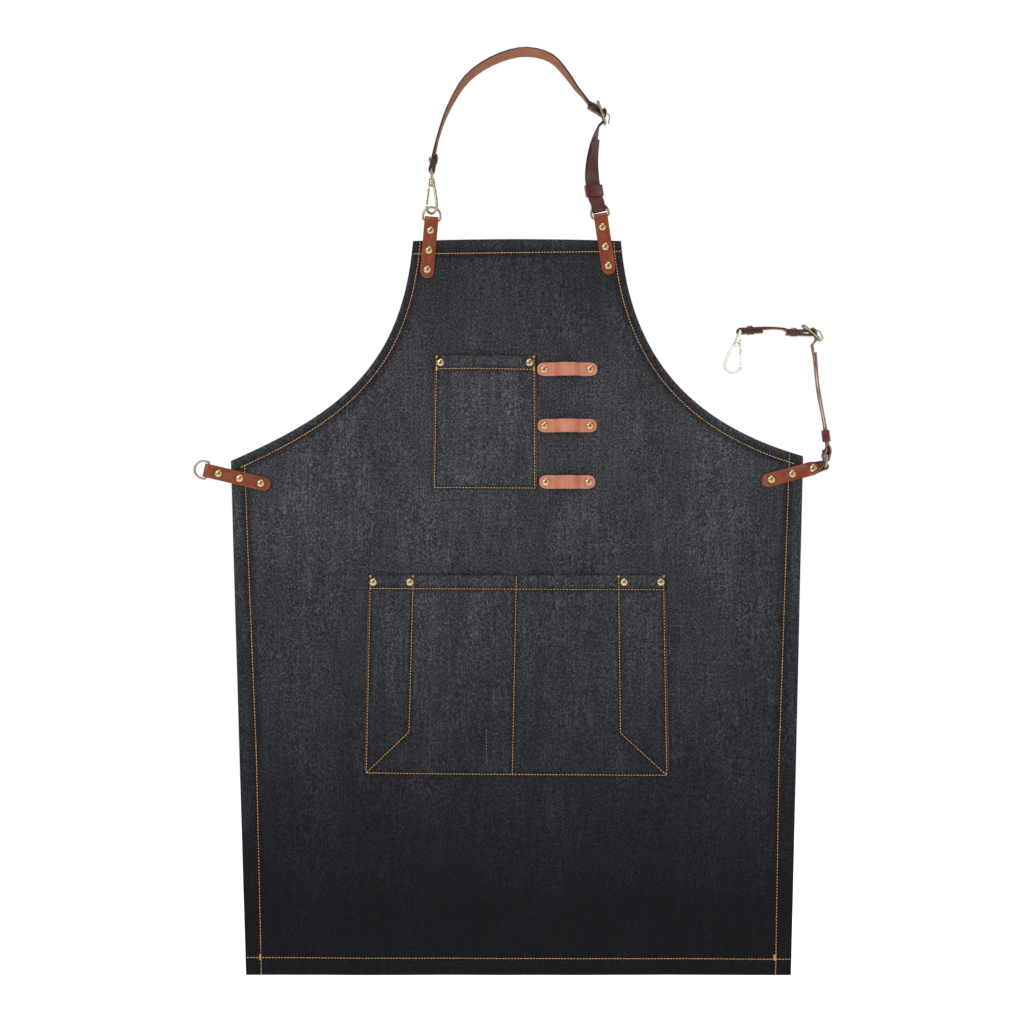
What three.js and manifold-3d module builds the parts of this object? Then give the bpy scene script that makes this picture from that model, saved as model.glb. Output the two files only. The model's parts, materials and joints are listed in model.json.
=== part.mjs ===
// Denim work apron with leather tabs and straps, in millimetres, +Z up, front face towards -Y.
// The origin is the underside of the neck strap at its highest point, where the apron hangs.
import * as THREE from 'three';
import { mergeVertices } from 'three/addons/utils/BufferGeometryUtils.js';
import Module from 'manifold-3d';

const wasm = await Module();
wasm.setup();

// ---------------------------------------------------------------- driving dimensions
const GAP = 0.3; // between touching pieces

// apron body
const BIB_HALF = 110; // half the width of the bib's top edge
const BIB_TOP = -196; // height of the bib's top edge
const TOP_RISE = 2; // crown of the bib's top edge
const WAIST_HALF = 303; // half the width at the waist corners
const WAIST_LEFT = -429;
const WAIST_RIGHT = -424;
const HEM = -973.5; // height of the bottom edge
const HEM_HALF_LEFT = 287;
const HEM_HALF_RIGHT = 290;
const DENIM = 1.2; // thickness of the body cloth

// pockets
const PATCH = 1.2; // thickness of the pocket cloth
const CHEST = { middle: -34, top: -317.6, topHalf: 54.2, bottomHalf: 55.3, tall: 141, deep: 8 };
const LOWER = { middle: 0, top: -550.3, topHalf: 157.4, bottomHalf: 161.8, tall: 213, deep: 8 };
const LOWER_SEAM_TOP = 109; // side seams of the lower pocket, from its middle
const LOWER_SEAM_BOTTOM = 112;
const LOWER_SEAM_TALL = 166; // height of the straight part of the side seams
const RIVET_FLANGE = 11.5; // flat edge that holds a rivet
const SEAM_FLANGE = 3; // flat edge beside a seam with no rivet
const PLEAT = 6; // width of the slope between a flat edge and the pocket's face
const POCKET_RIVET_INSET = 7; // rivet centre from a pocket's top and side edges

// leather
const TAB_LEATHER = 1.6;
const STRAP_LEATHER = 1.8;
const STRAP_HALF = 7.25;
const TAB_HALF = 7.25;
const TAB_LOOP = 2.4; // inner radius of a tab's fold
const TAB_SETTLE = 6.5; // distance from the ring's bar at which a tab's layers close up
const NECK_TAB_LONG = 62;
const WAIST_TAB_LONG = 69;
const NECK_TAB_RIVETS = [11, 32, 52.5]; // from the ring's bar
const WAIST_TAB_RIVETS = [12, 35, 58];
const NECK_TAB_LEFT = { x: -90.7, z: -173.8, lean: 4.85 }; // ring bar, degrees from upright
const NECK_TAB_RIGHT = { x: 88.8, z: -170.3, lean: -8.6 };
const NECK_RING_LEAN = 5; // how far the right neck ring leans past its tab
const WAIST_TAB_LEFT = { x: -328, z: -439.3, slope: -13.2 };
const WAIST_TAB_RIGHT = { x: 325.5, z: -433.5, slope: 195, twist: 78 };

// pen loops
const PEN_LOOP_X = 53.2;
const PEN_LOOP_HEIGHTS = { top: -331.8, middle: -391.5, bottom: -451.2 };
const PEN_LOOP_HALF_LONG = { top: 32.3, middle: 31.8, bottom: 30 };
const PEN_RIVET_OUT = 24.5; // loop rivets from the loop's middle
const PEN_RISE = 9; // clear depth under a loop
const PEN_CROWN = 7; // half the width of a loop's crown
const PEN_FOOT = 14; // where the arch meets the cloth, from the loop's middle

// rivets
const CAP_RADIUS = 3.8;
const CAP_RISE = 1.5;
const POST_RADIUS = 1.1;
const RIVET_HOLE = 1.6;

// metal fittings
const RING_WIRE = 1.3;
const RING_INNER_HALF = 8;
const RING_LEG = 4.5;
const FRAME_WIRE = 1.2;
const FRAME_HALF_LONG = 12;
const BAR_WIRE = 1;
const PRONG_WIRE = 0.75;
const SNAP_WIRE = 1.15;
const SNAP_LONG = 34;
const SNAP_BULGE = 8.8; // half the width of the hook's bow
const EYE_HALF = 8; // inner half width of the swivel eye
const EYE_TALL = 7;
const NECK_BUCKLE = { x: 89.6, z: -60.2, turn: 19.5, exit: 36 };
const WAIST_BUCKLE = { x: 312.2, z: -293.4, turn: 50.4, exit: 50 };
const NECK_SNAP = { x: -90.3, z: -121, lean: 0, turn: 230 };
const WAIST_SNAP = { x: 236, z: -291.5, lean: 12, turn: 4 };

// keepers
const KEEPER_LEATHER = 1.2;
const KEEPER_LONG = 12;
const KEEPER_PLAY = 0.7; // room between a keeper and the strap inside it
const LAYER_GAP = 0.5; // between the two layers of a doubled strap

const MIDDLE_Y = DENIM / 2; // middle of the body cloth

// ---------------------------------------------------------------- materials
const FINISHES = {
  denim: { color: 0x23262b, roughness: 0.95, metalness: 0 },
  tabLeather: { color: 0x7a3217, roughness: 0.45, metalness: 0 },
  loopLeather: { color: 0x9c5a45, roughness: 0.5, metalness: 0 },
  strapLeather: { color: 0x5a3428, roughness: 0.55, metalness: 0 },
  keeperLeather: { color: 0x5f1c10, roughness: 0.4, metalness: 0 },
  brass: { color: 0xb39b62, roughness: 0.3, metalness: 1 },
};

const apron = new THREE.Group();

function addPiece(name, geometry, finish) {
  const mesh = new THREE.Mesh(geometry, new THREE.MeshStandardMaterial(FINISHES[finish]));
  mesh.name = name;
  apron.add(mesh);
}

// ---------------------------------------------------------------- solids
function degrees(angle) {
  return THREE.MathUtils.degToRad(angle);
}

function signedVolume(positions, index) {
  const a = new THREE.Vector3();
  const b = new THREE.Vector3();
  const c = new THREE.Vector3();
  let volume = 0;
  for (let i = 0; i < index.length; i += 3) {
    a.fromArray(positions, index[i] * 3);
    b.fromArray(positions, index[i + 1] * 3);
    c.fromArray(positions, index[i + 2] * 3);
    volume += a.dot(b.cross(c)) / 6;
  }
  return volume;
}

// A closed body through a row of sections, each a ring of points in the same order.
function loft(sections, { closed = false, capFaces = null } = {}) {
  const ring = sections[0].length;
  const positions = sections.flat().flatMap((point) => [point.x, point.y, point.z]);
  const index = [];
  const bands = closed ? sections.length : sections.length - 1;
  for (let band = 0; band < bands; band += 1) {
    const here = band * ring;
    const next = ((band + 1) % sections.length) * ring;
    for (let side = 0; side < ring; side += 1) {
      const after = (side + 1) % ring;
      index.push(here + side, here + after, next + after);
      index.push(here + side, next + after, next + side);
    }
  }
  if (!closed) {
    const fan = Array.from({ length: ring - 2 }, (_, i) => [0, i + 1, i + 2]);
    const last = (sections.length - 1) * ring;
    for (const [a, b, c] of capFaces ?? fan) {
      index.push(a, c, b);
      index.push(last + a, last + b, last + c);
    }
  }
  if (signedVolume(positions, index) < 0) {
    index.reverse();
  }
  const geometry = new THREE.BufferGeometry();
  geometry.setAttribute('position', new THREE.Float32BufferAttribute(positions, 3));
  geometry.setIndex(index);
  geometry.computeVertexNormals();
  return geometry;
}

function toSolid(geometry) {
  const bare = geometry.clone();
  bare.deleteAttribute('normal');
  bare.deleteAttribute('uv');
  const merged = mergeVertices(bare, 1e-4);
  return new wasm.Manifold(new wasm.Mesh({
    numProp: 3,
    vertProperties: new Float32Array(merged.attributes.position.array),
    triVerts: new Uint32Array(merged.index.array),
  }));
}

function toGeometry(solid) {
  const mesh = solid.getMesh();
  const geometry = new THREE.BufferGeometry();
  geometry.setAttribute('position', new THREE.BufferAttribute(mesh.vertProperties, 3));
  geometry.setIndex(new THREE.BufferAttribute(mesh.triVerts, 1));
  geometry.computeVertexNormals();
  return geometry;
}

function join(...geometries) {
  return toGeometry(geometries.map(toSolid).reduce((whole, next) => whole.add(next)));
}

function cut(geometry, tools) {
  return toGeometry(tools.map(toSolid).reduce((whole, tool) => whole.subtract(tool), toSolid(geometry)));
}

// A straight prism or rod from one point to another.
function rod(from, to, radius, sides = 8) {
  const along = to.clone().sub(from);
  const geometry = new THREE.CylinderGeometry(radius, radius, along.length(), sides);
  const turn = new THREE.Quaternion().setFromUnitVectors(new THREE.Vector3(0, 1, 0), along.normalize());
  geometry.applyQuaternion(turn);
  const middle = from.clone().add(to).multiplyScalar(0.5);
  geometry.translate(middle.x, middle.y, middle.z);
  return geometry;
}

// A box given by its middle, three unit directions and three half sizes.
function slab(middle, directions, halves) {
  const corner = (a, b, c) => middle.clone()
    .addScaledVector(directions[0], a * halves[0])
    .addScaledVector(directions[1], b * halves[1])
    .addScaledVector(directions[2], c * halves[2]);
  const face = (c) => [corner(-1, -1, c), corner(1, -1, c), corner(1, 1, c), corner(-1, 1, c)];
  return loft([face(-1), face(1)]);
}

function tangents(points, closed = false) {
  return points.map((_, i) => {
    const count = points.length;
    const before = closed ? points[(i + count - 1) % count] : points[Math.max(i - 1, 0)];
    const after = closed ? points[(i + 1) % count] : points[Math.min(i + 1, count - 1)];
    return after.clone().sub(before).normalize();
  });
}

// A round wire along points; `side` is any direction that is never along the wire.
function wire(points, side, radius, { closed = false, sides = 8 } = {}) {
  const runs = tangents(points, closed);
  const sections = points.map((point, i) => {
    const across = side.clone().addScaledVector(runs[i], -side.dot(runs[i])).normalize();
    const other = across.clone().cross(runs[i]);
    return Array.from({ length: sides }, (_, k) => {
      const angle = ((k + 0.5) / sides) * Math.PI * 2;
      return point.clone()
        .addScaledVector(across, Math.cos(angle) * radius)
        .addScaledVector(other, Math.sin(angle) * radius);
    });
  });
  return loft(sections, { closed });
}

// A flat leather ribbon; each station has a place, the direction across it and its half width.
function ribbon(stations, thickness) {
  const runs = tangents(stations.map((station) => station.at));
  const sections = stations.map(({ at, across, half }, i) => {
    const face = across.clone().cross(runs[i]).normalize();
    const wide = runs[i].clone().cross(face).normalize();
    const corner = (a, b) => at.clone()
      .addScaledVector(wide, a * half)
      .addScaledVector(face, (b * thickness) / 2);
    return [corner(-1, -1), corner(1, -1), corner(1, 1), corner(-1, 1)];
  });
  return loft(sections);
}

// An upright sheet cut to an outline of x and z, between two depths.
function sheet(shape, front, back, curveSegments = 12) {
  const geometry = new THREE.ExtrudeGeometry(shape, {
    depth: back - front,
    bevelEnabled: false,
    curveSegments,
  });
  geometry.rotateX(Math.PI / 2);
  geometry.translate(0, back, 0);
  return geometry;
}

// ---------------------------------------------------------------- rivets
const rivetAxes = []; // every rivet's place and direction, for the holes

function rivet(name, middle, facing, stack) {
  const seat = stack / 2 + GAP;
  const profile = [
    [0, -seat - CAP_RISE * 0.6],
    [CAP_RADIUS, -seat - CAP_RISE * 0.6],
    [CAP_RADIUS, -seat],
    [POST_RADIUS, -seat],
    [POST_RADIUS, seat],
    [CAP_RADIUS, seat],
    [CAP_RADIUS * 0.65, seat + CAP_RISE],
    [0, seat + CAP_RISE],
  ].map(([radius, height]) => new THREE.Vector2(radius, height));
  const geometry = new THREE.LatheGeometry(profile, 8);
  geometry.applyQuaternion(new THREE.Quaternion().setFromUnitVectors(new THREE.Vector3(0, 1, 0), facing));
  geometry.translate(middle.x, middle.y, middle.z);
  addPiece(name, toGeometry(toSolid(geometry)), 'brass');
  rivetAxes.push({ name, middle, facing });
}

// Tools for the holes of every rivet whose name starts with one of the given words.
function rivetHoles(...words) {
  return rivetAxes
    .filter(({ name }) => words.some((word) => name.startsWith(word)))
    .map(({ middle, facing }) => {
      const reach = facing.clone().multiplyScalar(8);
      return rod(middle.clone().sub(reach), middle.clone().add(reach), RIVET_HOLE, 6);
    });
}

const FRONT = new THREE.Vector3(0, -1, 0);

// ---------------------------------------------------------------- tabs and their rings
// A frame at a ring's bar: `run` points from the bar along the tab, `bar` along the ring's bar.
function tabFrame(x, z, runAngle, twist = 0) {
  const run = new THREE.Vector3(Math.cos(degrees(runAngle)), 0, Math.sin(degrees(runAngle)));
  const flat = new THREE.Vector3(0, 1, 0).cross(run).normalize();
  return { at: new THREE.Vector3(x, MIDDLE_Y, z), run, flat, twist: degrees(twist) };
}

// Directions across and through a tab at a distance from the bar, with its twist eased out.
function tabTurn(frame, distance, untwisted) {
  const share = THREE.MathUtils.clamp(1 - distance / untwisted, 0, 1);
  const angle = frame.twist * share;
  const across = frame.flat.clone().applyAxisAngle(frame.run, angle);
  const face = FRONT.clone().applyAxisAngle(frame.run, angle);
  return { across, face };
}

const TAB_UNTWISTED = 21.5; // a twisted tab lies flat from here on
const TAB_SPREAD = (DENIM + TAB_LEATHER) / 2 + GAP; // layer centre from the tab's middle
const FOLD_RADIUS = TAB_LOOP + TAB_LEATHER / 2;

function tabGeometry(frame, long) {
  const tip = long - TAB_HALF;
  const layer = [];
  for (const [back, share] of [[0.4, 0.32], [1.6, 0.62], [3.6, 0.86], [TAB_HALF, 1]]) {
    layer.push([tip + TAB_HALF - back, TAB_SPREAD, TAB_HALF * share]);
  }
  const settled = frame.twist === 0 ? [TAB_SETTLE] : [TAB_UNTWISTED, 18, 12, TAB_SETTLE];
  settled.forEach((distance) => layer.push([distance, TAB_SPREAD, TAB_HALF]));
  const place = (distance, offset, side, half) => {
    const { across, face } = tabTurn(frame, distance, TAB_UNTWISTED);
    const at = frame.at.clone()
      .addScaledVector(frame.run, distance)
      .addScaledVector(face, offset * side);
    return { at, across, half };
  };
  const stations = layer.map(([distance, offset, half]) => place(distance, offset, 1, half));
  const turns = 8;
  for (let i = 0; i <= turns; i += 1) {
    const angle = Math.PI / 2 + (i / turns) * Math.PI;
    const reach = FOLD_RADIUS * Math.cos(angle);
    const { across, face } = tabTurn(frame, 0, TAB_UNTWISTED);
    const at = frame.at.clone()
      .addScaledVector(frame.run, reach)
      .addScaledVector(face, FOLD_RADIUS * Math.sin(angle));
    stations.push({ at, across, half: TAB_HALF });
  }
  layer.reverse();
  stations.push(...layer.map(([distance, offset, half]) => place(distance, offset, -1, half)));
  return ribbon(stations, TAB_LEATHER);
}

// A ring's closed wire: a straight bar, two short legs and a half circle.
function ringGeometry(frame, upward) {
  const bar = tabTurn(frame, 0, TAB_UNTWISTED).across;
  const up = upward.clone().addScaledVector(bar, -upward.dot(bar)).normalize();
  const half = RING_INNER_HALF + RING_WIRE;
  const outline = [[-half + 1, 0], [half - 1, 0], [half, 1]];
  const turns = 10;
  for (let i = 0; i <= turns; i += 1) {
    const angle = (i / turns) * Math.PI;
    outline.push([half * Math.cos(angle), RING_LEG + half * Math.sin(angle)]);
  }
  outline.push([-half, 1]);
  const points = outline.map(([a, b]) => frame.at.clone()
    .addScaledVector(bar, a)
    .addScaledVector(up, b));
  return { geometry: wire(points, bar.clone().cross(up), RING_WIRE, { closed: true }), bar, up };
}

const neckLeft = tabFrame(NECK_TAB_LEFT.x, NECK_TAB_LEFT.z, 270 - NECK_TAB_LEFT.lean);
const neckRight = tabFrame(NECK_TAB_RIGHT.x, NECK_TAB_RIGHT.z, 270 - NECK_TAB_RIGHT.lean);
const waistLeft = tabFrame(WAIST_TAB_LEFT.x, WAIST_TAB_LEFT.z, WAIST_TAB_LEFT.slope);
const waistRight = tabFrame(
  WAIST_TAB_RIGHT.x,
  WAIST_TAB_RIGHT.z,
  WAIST_TAB_RIGHT.slope,
  WAIST_TAB_RIGHT.twist,
);

const TAB_STACK = DENIM + 2 * TAB_LEATHER + 2 * GAP;
const tabs = [
  { name: 'neck_tab_left', frame: neckLeft, long: NECK_TAB_LONG, rivets: NECK_TAB_RIVETS },
  { name: 'neck_tab_right', frame: neckRight, long: NECK_TAB_LONG, rivets: NECK_TAB_RIVETS },
  { name: 'waist_tab_left', frame: waistLeft, long: WAIST_TAB_LONG, rivets: WAIST_TAB_RIVETS },
  { name: 'waist_tab_right', frame: waistRight, long: WAIST_TAB_LONG, rivets: WAIST_TAB_RIVETS },
];
for (const { name, frame, long, rivets } of tabs) {
  rivets.forEach((distance, i) => {
    const { face } = tabTurn(frame, distance, TAB_UNTWISTED);
    const middle = frame.at.clone().addScaledVector(frame.run, distance);
    rivet(`${name}_rivet_${i + 1}`, middle, face, TAB_STACK);
  });
  addPiece(name, cut(tabGeometry(frame, long), rivetHoles(`${name}_rivet`)), 'tabLeather');
}

// The frame of a ring that leans within its tab's fold.
function leaningFrame(frame, angle) {
  const flat = frame.flat.clone().applyAxisAngle(FRONT, degrees(angle));
  return { ...frame, flat };
}

const ringNeckLeft = ringGeometry(neckLeft, neckLeft.run.clone().negate());
const ringNeckRight = ringGeometry(leaningFrame(neckRight, NECK_RING_LEAN), neckRight.run.clone().negate());
const ringWaistLeft = ringGeometry(waistLeft, waistLeft.run.clone().negate());
const ringWaistRight = ringGeometry(waistRight, new THREE.Vector3(0.16, 0, 0.987));
addPiece('neck_dring_left', ringNeckLeft.geometry, 'brass');
addPiece('neck_dring_right', ringNeckRight.geometry, 'brass');
addPiece('waist_dring_left', ringWaistLeft.geometry, 'brass');
addPiece('waist_dring_right', ringWaistRight.geometry, 'brass');

// ---------------------------------------------------------------- buckles
// Local directions: `s` along the frame towards the short end strap, `n` outwards.
function buckleFrame({ x, z, turn }) {
  const angle = degrees(turn);
  return {
    at: new THREE.Vector3(x, MIDDLE_Y, z),
    s: new THREE.Vector3(-Math.sin(angle), 0, Math.cos(angle)),
    n: new THREE.Vector3(Math.cos(angle), 0, Math.sin(angle)),
    w: new THREE.Vector3(0, 1, 0),
  };
}

function inBuckle(buckle, s, n, w = 0) {
  return buckle.at.clone()
    .addScaledVector(buckle.s, s)
    .addScaledVector(buckle.n, n)
    .addScaledVector(buckle.w, w);
}

const FRAME_HALF_WIDE = STRAP_HALF + 0.7 + FRAME_WIRE;
const BAR_FOLD = BAR_WIRE + 0.4 + STRAP_LEATHER / 2; // strap centre round the bar
const OVER_FOLD = BAR_FOLD + STRAP_LEATHER + 0.4; // second strap over the first one's fold
const ENTRY = 38; // degrees between the frame and the strap that is folded on the bar

function frameGeometry(buckle) {
  const corner = 2;
  const outline = [];
  for (const [a, b] of [[1, 1], [-1, 1], [-1, -1], [1, -1]]) {
    const long = [FRAME_HALF_LONG * a, (FRAME_HALF_WIDE - corner) * b];
    const wide = [(FRAME_HALF_LONG - corner) * a, FRAME_HALF_WIDE * b];
    outline.push(...(a * b > 0 ? [long, wide] : [wide, long]));
  }
  const points = outline.map(([s, w]) => inBuckle(buckle, s, 0, w));
  const rim = wire(points, buckle.n, FRAME_WIRE, { closed: true });
  const bar = rod(
    inBuckle(buckle, 0, 0, -FRAME_HALF_WIDE),
    inBuckle(buckle, 0, 0, FRAME_HALF_WIDE),
    BAR_WIRE,
  );
  return join(rim, bar);
}

function prongGeometry(buckle) {
  const eyeRadius = BAR_WIRE + GAP + PRONG_WIRE + 0.1;
  const turns = 12;
  const eye = Array.from({ length: turns }, (_, i) => {
    const angle = (i / turns) * Math.PI * 2;
    return inBuckle(buckle, eyeRadius * Math.cos(angle), eyeRadius * Math.sin(angle));
  });
  const needle = [[-0.6, 2.1], [-2.3, 4.6], [-3.6, 6.6], [-5.6, 6.9], [-9.2, 5.4], [-13.4, 3.2]]
    .map(([s, n]) => inBuckle(buckle, s, n));
  return join(
    wire(eye, buckle.w, PRONG_WIRE, { closed: true, sides: 6 }),
    wire(needle, buckle.w, PRONG_WIRE, { sides: 6 }),
  );
}

// The strap folded on the bar: from its running side round the bar to its short tail.
function barFold(buckle, straight, tail) {
  const away = [Math.cos(degrees(ENTRY)), -Math.sin(degrees(ENTRY))];
  const out = [Math.sin(degrees(ENTRY)), Math.cos(degrees(ENTRY))];
  const point = (radius, along) => [
    out[0] * radius + away[0] * along,
    out[1] * radius + away[1] * along,
  ];
  const path = [point(BAR_FOLD, straight), point(BAR_FOLD, straight / 2)];
  const turns = 8;
  for (let i = 0; i <= turns; i += 1) {
    const angle = degrees(90 - ENTRY) + (i / turns) * Math.PI;
    path.push([BAR_FOLD * Math.cos(angle), BAR_FOLD * Math.sin(angle)]);
  }
  path.push(point(-BAR_FOLD, tail / 2), point(-BAR_FOLD, tail));
  const half = STRAP_HALF;
  return path.map(([s, n]) => ({ at: inBuckle(buckle, s, n), across: buckle.w, half }));
}

// The slot in that fold which lets the prong through.
function prongSlot(buckle) {
  return slab(inBuckle(buckle, 0, 0), [buckle.s, buckle.n, buckle.w], [4.4, 4.4, 1.5]);
}

const OVER_TIP = 0.6; // strap left past the arc over the bar

// The strap that passes over the fold: its tip, the arc over the bar and its way out.
function overBar(buckle, exit, straight) {
  const path = [];
  const start = 90 - ENTRY;
  const away = [Math.cos(degrees(ENTRY)), -Math.sin(degrees(ENTRY))];
  const first = [OVER_FOLD * Math.cos(degrees(start)), OVER_FOLD * Math.sin(degrees(start))];
  path.push([first[0] + away[0] * OVER_TIP, first[1] + away[1] * OVER_TIP]);
  const turns = 5;
  for (let i = 0; i <= turns; i += 1) {
    const angle = degrees(start + (i / turns) * (exit + ENTRY));
    path.push([OVER_FOLD * Math.cos(angle), OVER_FOLD * Math.sin(angle)]);
  }
  const last = path[path.length - 1];
  path.push([last[0] - Math.cos(degrees(exit)) * straight, last[1] - Math.sin(degrees(exit)) * straight]);
  const half = STRAP_HALF;
  return path.map(([s, n]) => ({ at: inBuckle(buckle, s, n), across: buckle.w, half }));
}

// The hole in the passing strap, long enough for the prong to lift.
function prongHole(buckle) {
  const angle = degrees(108);
  const out = buckle.s.clone().multiplyScalar(Math.cos(angle)).addScaledVector(buckle.n, Math.sin(angle));
  const along = buckle.s.clone().multiplyScalar(-Math.sin(angle)).addScaledVector(buckle.n, Math.cos(angle));
  return slab(
    buckle.at.clone().addScaledVector(out, OVER_FOLD),
    [along, out, buckle.w],
    [4.2, 2.2, PRONG_WIRE + 0.5],
  );
}

// ---------------------------------------------------------------- route of a doubled strap
// Stations on the middle line of a doubled strap, from its ring to its buckle.
function smoothRoute(anchors, steps) {
  const curve = new THREE.CatmullRomCurve3(anchors.map(({ at }) => at), false, 'centripetal');
  const spread = new THREE.CatmullRomCurve3(anchors.map(({ across }) => across), false, 'centripetal');
  return Array.from({ length: steps + 1 }, (_, i) => {
    const t = i / steps;
    const at = curve.getPoint(t);
    const run = curve.getTangent(t);
    const across = spread.getPoint(t);
    across.addScaledVector(run, -across.dot(run)).normalize();
    return { at, run, across, out: run.clone().cross(across).normalize() };
  });
}

const RING_CLEAR = RING_WIRE + GAP + STRAP_LEATHER / 2 + 0.1; // layer from the ring's wire
const PAIR_CLEAR = (STRAP_LEATHER + LAYER_GAP) / 2;
const FOLD_HEIGHT = RING_LEG + 3.9; // middle of the strap's fold above the ring's bar
const RING_TOP = RING_LEG + RING_INNER_HALF + RING_WIRE;

// Both layers and the fold round the ring; `squeeze` is where the layers have closed up.
function doubledStrap(ring, frame, anchors, steps, squeeze, outerEnd, innerStop) {
  const base = frame.at.clone().addScaledVector(ring.up, FOLD_HEIGHT);
  const wide = ring.bar.clone().multiplyScalar(Math.sign(ring.bar.dot(anchors[0].across)));
  const route = smoothRoute([
    { at: base, across: wide },
    { at: frame.at.clone().addScaledVector(ring.up, RING_TOP - 1), across: wide },
    { at: frame.at.clone().addScaledVector(ring.up, RING_TOP + 2.5), across: wide },
    ...anchors,
  ], steps);
  const inner = [];
  const outer = [];
  for (const { at, across, out } of route) {
    const distance = at.distanceTo(base);
    const share = THREE.MathUtils.smoothstep(distance, RING_TOP - FOLD_HEIGHT + 1.5, squeeze);
    const offset = THREE.MathUtils.lerp(RING_CLEAR, PAIR_CLEAR, share);
    outer.push({ at: at.clone().addScaledVector(out, offset), across, half: STRAP_HALF });
    inner.push({ at: at.clone().addScaledVector(out, -offset), across, half: STRAP_HALF });
  }
  const fold = [];
  const turns = 6;
  const { out } = route[0];
  for (let i = 1; i < turns; i += 1) {
    const angle = (i / turns) * Math.PI;
    const at = base.clone()
      .addScaledVector(out, RING_CLEAR * Math.cos(angle))
      .addScaledVector(ring.up, -RING_CLEAR * Math.sin(angle));
    fold.push({ at, across: wide, half: STRAP_HALF });
  }
  return [...outerEnd, ...outer.reverse(), ...fold, ...inner.slice(0, inner.length - innerStop)];
}

function across(alpha, tilt = 0) {
  const turned = new THREE.Vector3(Math.sin(degrees(alpha)), Math.cos(degrees(alpha)), 0);
  turned.z = Math.sin(degrees(tilt));
  return turned.normalize();
}

// Keeper: a short leather sleeve round a doubled strap at a place on its middle line.
function keeperGeometry(at, run, wide) {
  const face = run.clone().cross(wide).normalize();
  const thick = PAIR_CLEAR + STRAP_LEATHER / 2 + KEEPER_PLAY;
  const inner = [STRAP_HALF + KEEPER_PLAY, thick];
  const outer = inner.map((half) => half + KEEPER_LEATHER);
  const directions = [wide, face, run];
  return cut(
    slab(at, directions, [outer[0], outer[1], KEEPER_LONG / 2]),
    [slab(at, directions, [inner[0], inner[1], KEEPER_LONG])],
  );
}

const point = (x, z, y = MIDDLE_Y) => new THREE.Vector3(x, y, z);

// ---------------------------------------------------------------- neck strap
const neckBuckle = buckleFrame(NECK_BUCKLE);
addPiece('neck_buckle_frame', frameGeometry(neckBuckle), 'brass');
addPiece('neck_buckle_prong', prongGeometry(neckBuckle), 'brass');

// The crown of the strap: place, and how far its front edge is rolled up.
const NECK_CROWN = [
  { x: -86.9, z: -98, roll: 4 },
  { x: -80.5, z: -75.3, roll: 4 },
  { x: -71.2, z: -52.3, roll: 10 },
  { x: -52.9, z: -23.5, roll: 20 },
  { x: -24.2, z: -3.9, roll: 26 },
  { x: 8.1, z: 4.7, roll: 29.5 },
  { x: 36, z: -1.9, roll: 24 },
  { x: 54.1, z: -21.2, roll: 15 },
  { x: 63.5, z: -34.5, roll: 9 },
  { x: 70.5, z: -42.5, roll: 4 },
];

function rolledAcross(roll, outX, outZ) {
  const out = new THREE.Vector3(outX, 0, outZ).normalize();
  return out.multiplyScalar(-Math.sin(degrees(roll))).addScaledVector(FRONT, -Math.cos(degrees(roll)));
}

function crownStations(steps) {
  const centre = new THREE.Vector2(0, -70); // the loop's middle, from which outwards is measured
  const anchors = NECK_CROWN.map(({ x, z, roll }) => ({
    at: point(x, z),
    across: rolledAcross(roll, x - centre.x, z - centre.y),
  }));
  return smoothRoute(anchors, steps).map(({ at, across: wide }) => ({
    at,
    across: wide,
    half: STRAP_HALF,
  }));
}

// A swivel snap: `up` runs from the hook to the strap, `wide` across the hook's bow.
function snapFrame({ x, z, lean, turn }) {
  const up = new THREE.Vector3(Math.sin(degrees(lean)), 0, Math.cos(degrees(lean)));
  const flat = new THREE.Vector3(Math.cos(degrees(lean)), 0, -Math.sin(degrees(lean)));
  return {
    at: point(x, z),
    up,
    wide: flat.applyAxisAngle(up, -degrees(turn)),
    eyeAcross: new THREE.Vector3(0, 1, 0),
  };
}

const neckSnap = snapFrame(NECK_SNAP);
const waistSnap = snapFrame(WAIST_SNAP);

// The strap folded round a snap's eye: `out` is the side on which the strap arrives.
function eyeFold(snap, out, rise, tail) {
  const radius = SNAP_WIRE + 0.4 + STRAP_LEATHER / 2;
  const pull = rise.clone().normalize();
  const stations = [];
  const turns = 8;
  for (let i = 0; i <= turns; i += 1) {
    const angle = (i / turns) * Math.PI;
    const at = snap.at.clone()
      .addScaledVector(out, radius * Math.cos(angle))
      .addScaledVector(pull, -radius * Math.sin(angle));
    stations.push({ at, across: snap.eyeAcross, half: STRAP_HALF });
  }
  for (const along of [tail / 2, tail]) {
    const at = snap.at.clone().addScaledVector(out, -radius).addScaledVector(pull, along);
    stations.push({ at, across: snap.eyeAcross, half: STRAP_HALF });
  }
  return stations.reverse();
}

const TAIL_RIVET = 11; // strap rivets from the bar they hold the fold on
const WAIST_TAIL_RIVET = 19;
const FOLD_STACK = 2 * BAR_FOLD + STRAP_LEATHER;

const neckPull = new THREE.Vector3(0.17, 0, 0.985);
const neckPullOut = new THREE.Vector3(-0.985, 0, 0.17);
const neckEyeFold = eyeFold(neckSnap, neckPullOut, neckPull, 17);
const neckStations = [
  ...neckEyeFold,
  ...crownStations(30),
  ...barFold(neckBuckle, 18, 16),
];
const eyeRivetRadius = SNAP_WIRE + 0.4 + STRAP_LEATHER / 2;

function foldRivet(name, middle, pull, out, radius) {
  rivet(name, middle.clone().addScaledVector(pull, TAIL_RIVET), out, 2 * radius + STRAP_LEATHER);
}

function barFoldDirections(buckle) {
  const pull = buckle.s.clone().multiplyScalar(Math.cos(degrees(ENTRY)))
    .addScaledVector(buckle.n, -Math.sin(degrees(ENTRY)));
  const out = buckle.s.clone().multiplyScalar(Math.sin(degrees(ENTRY)))
    .addScaledVector(buckle.n, Math.cos(degrees(ENTRY)));
  return { pull, out };
}

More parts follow.
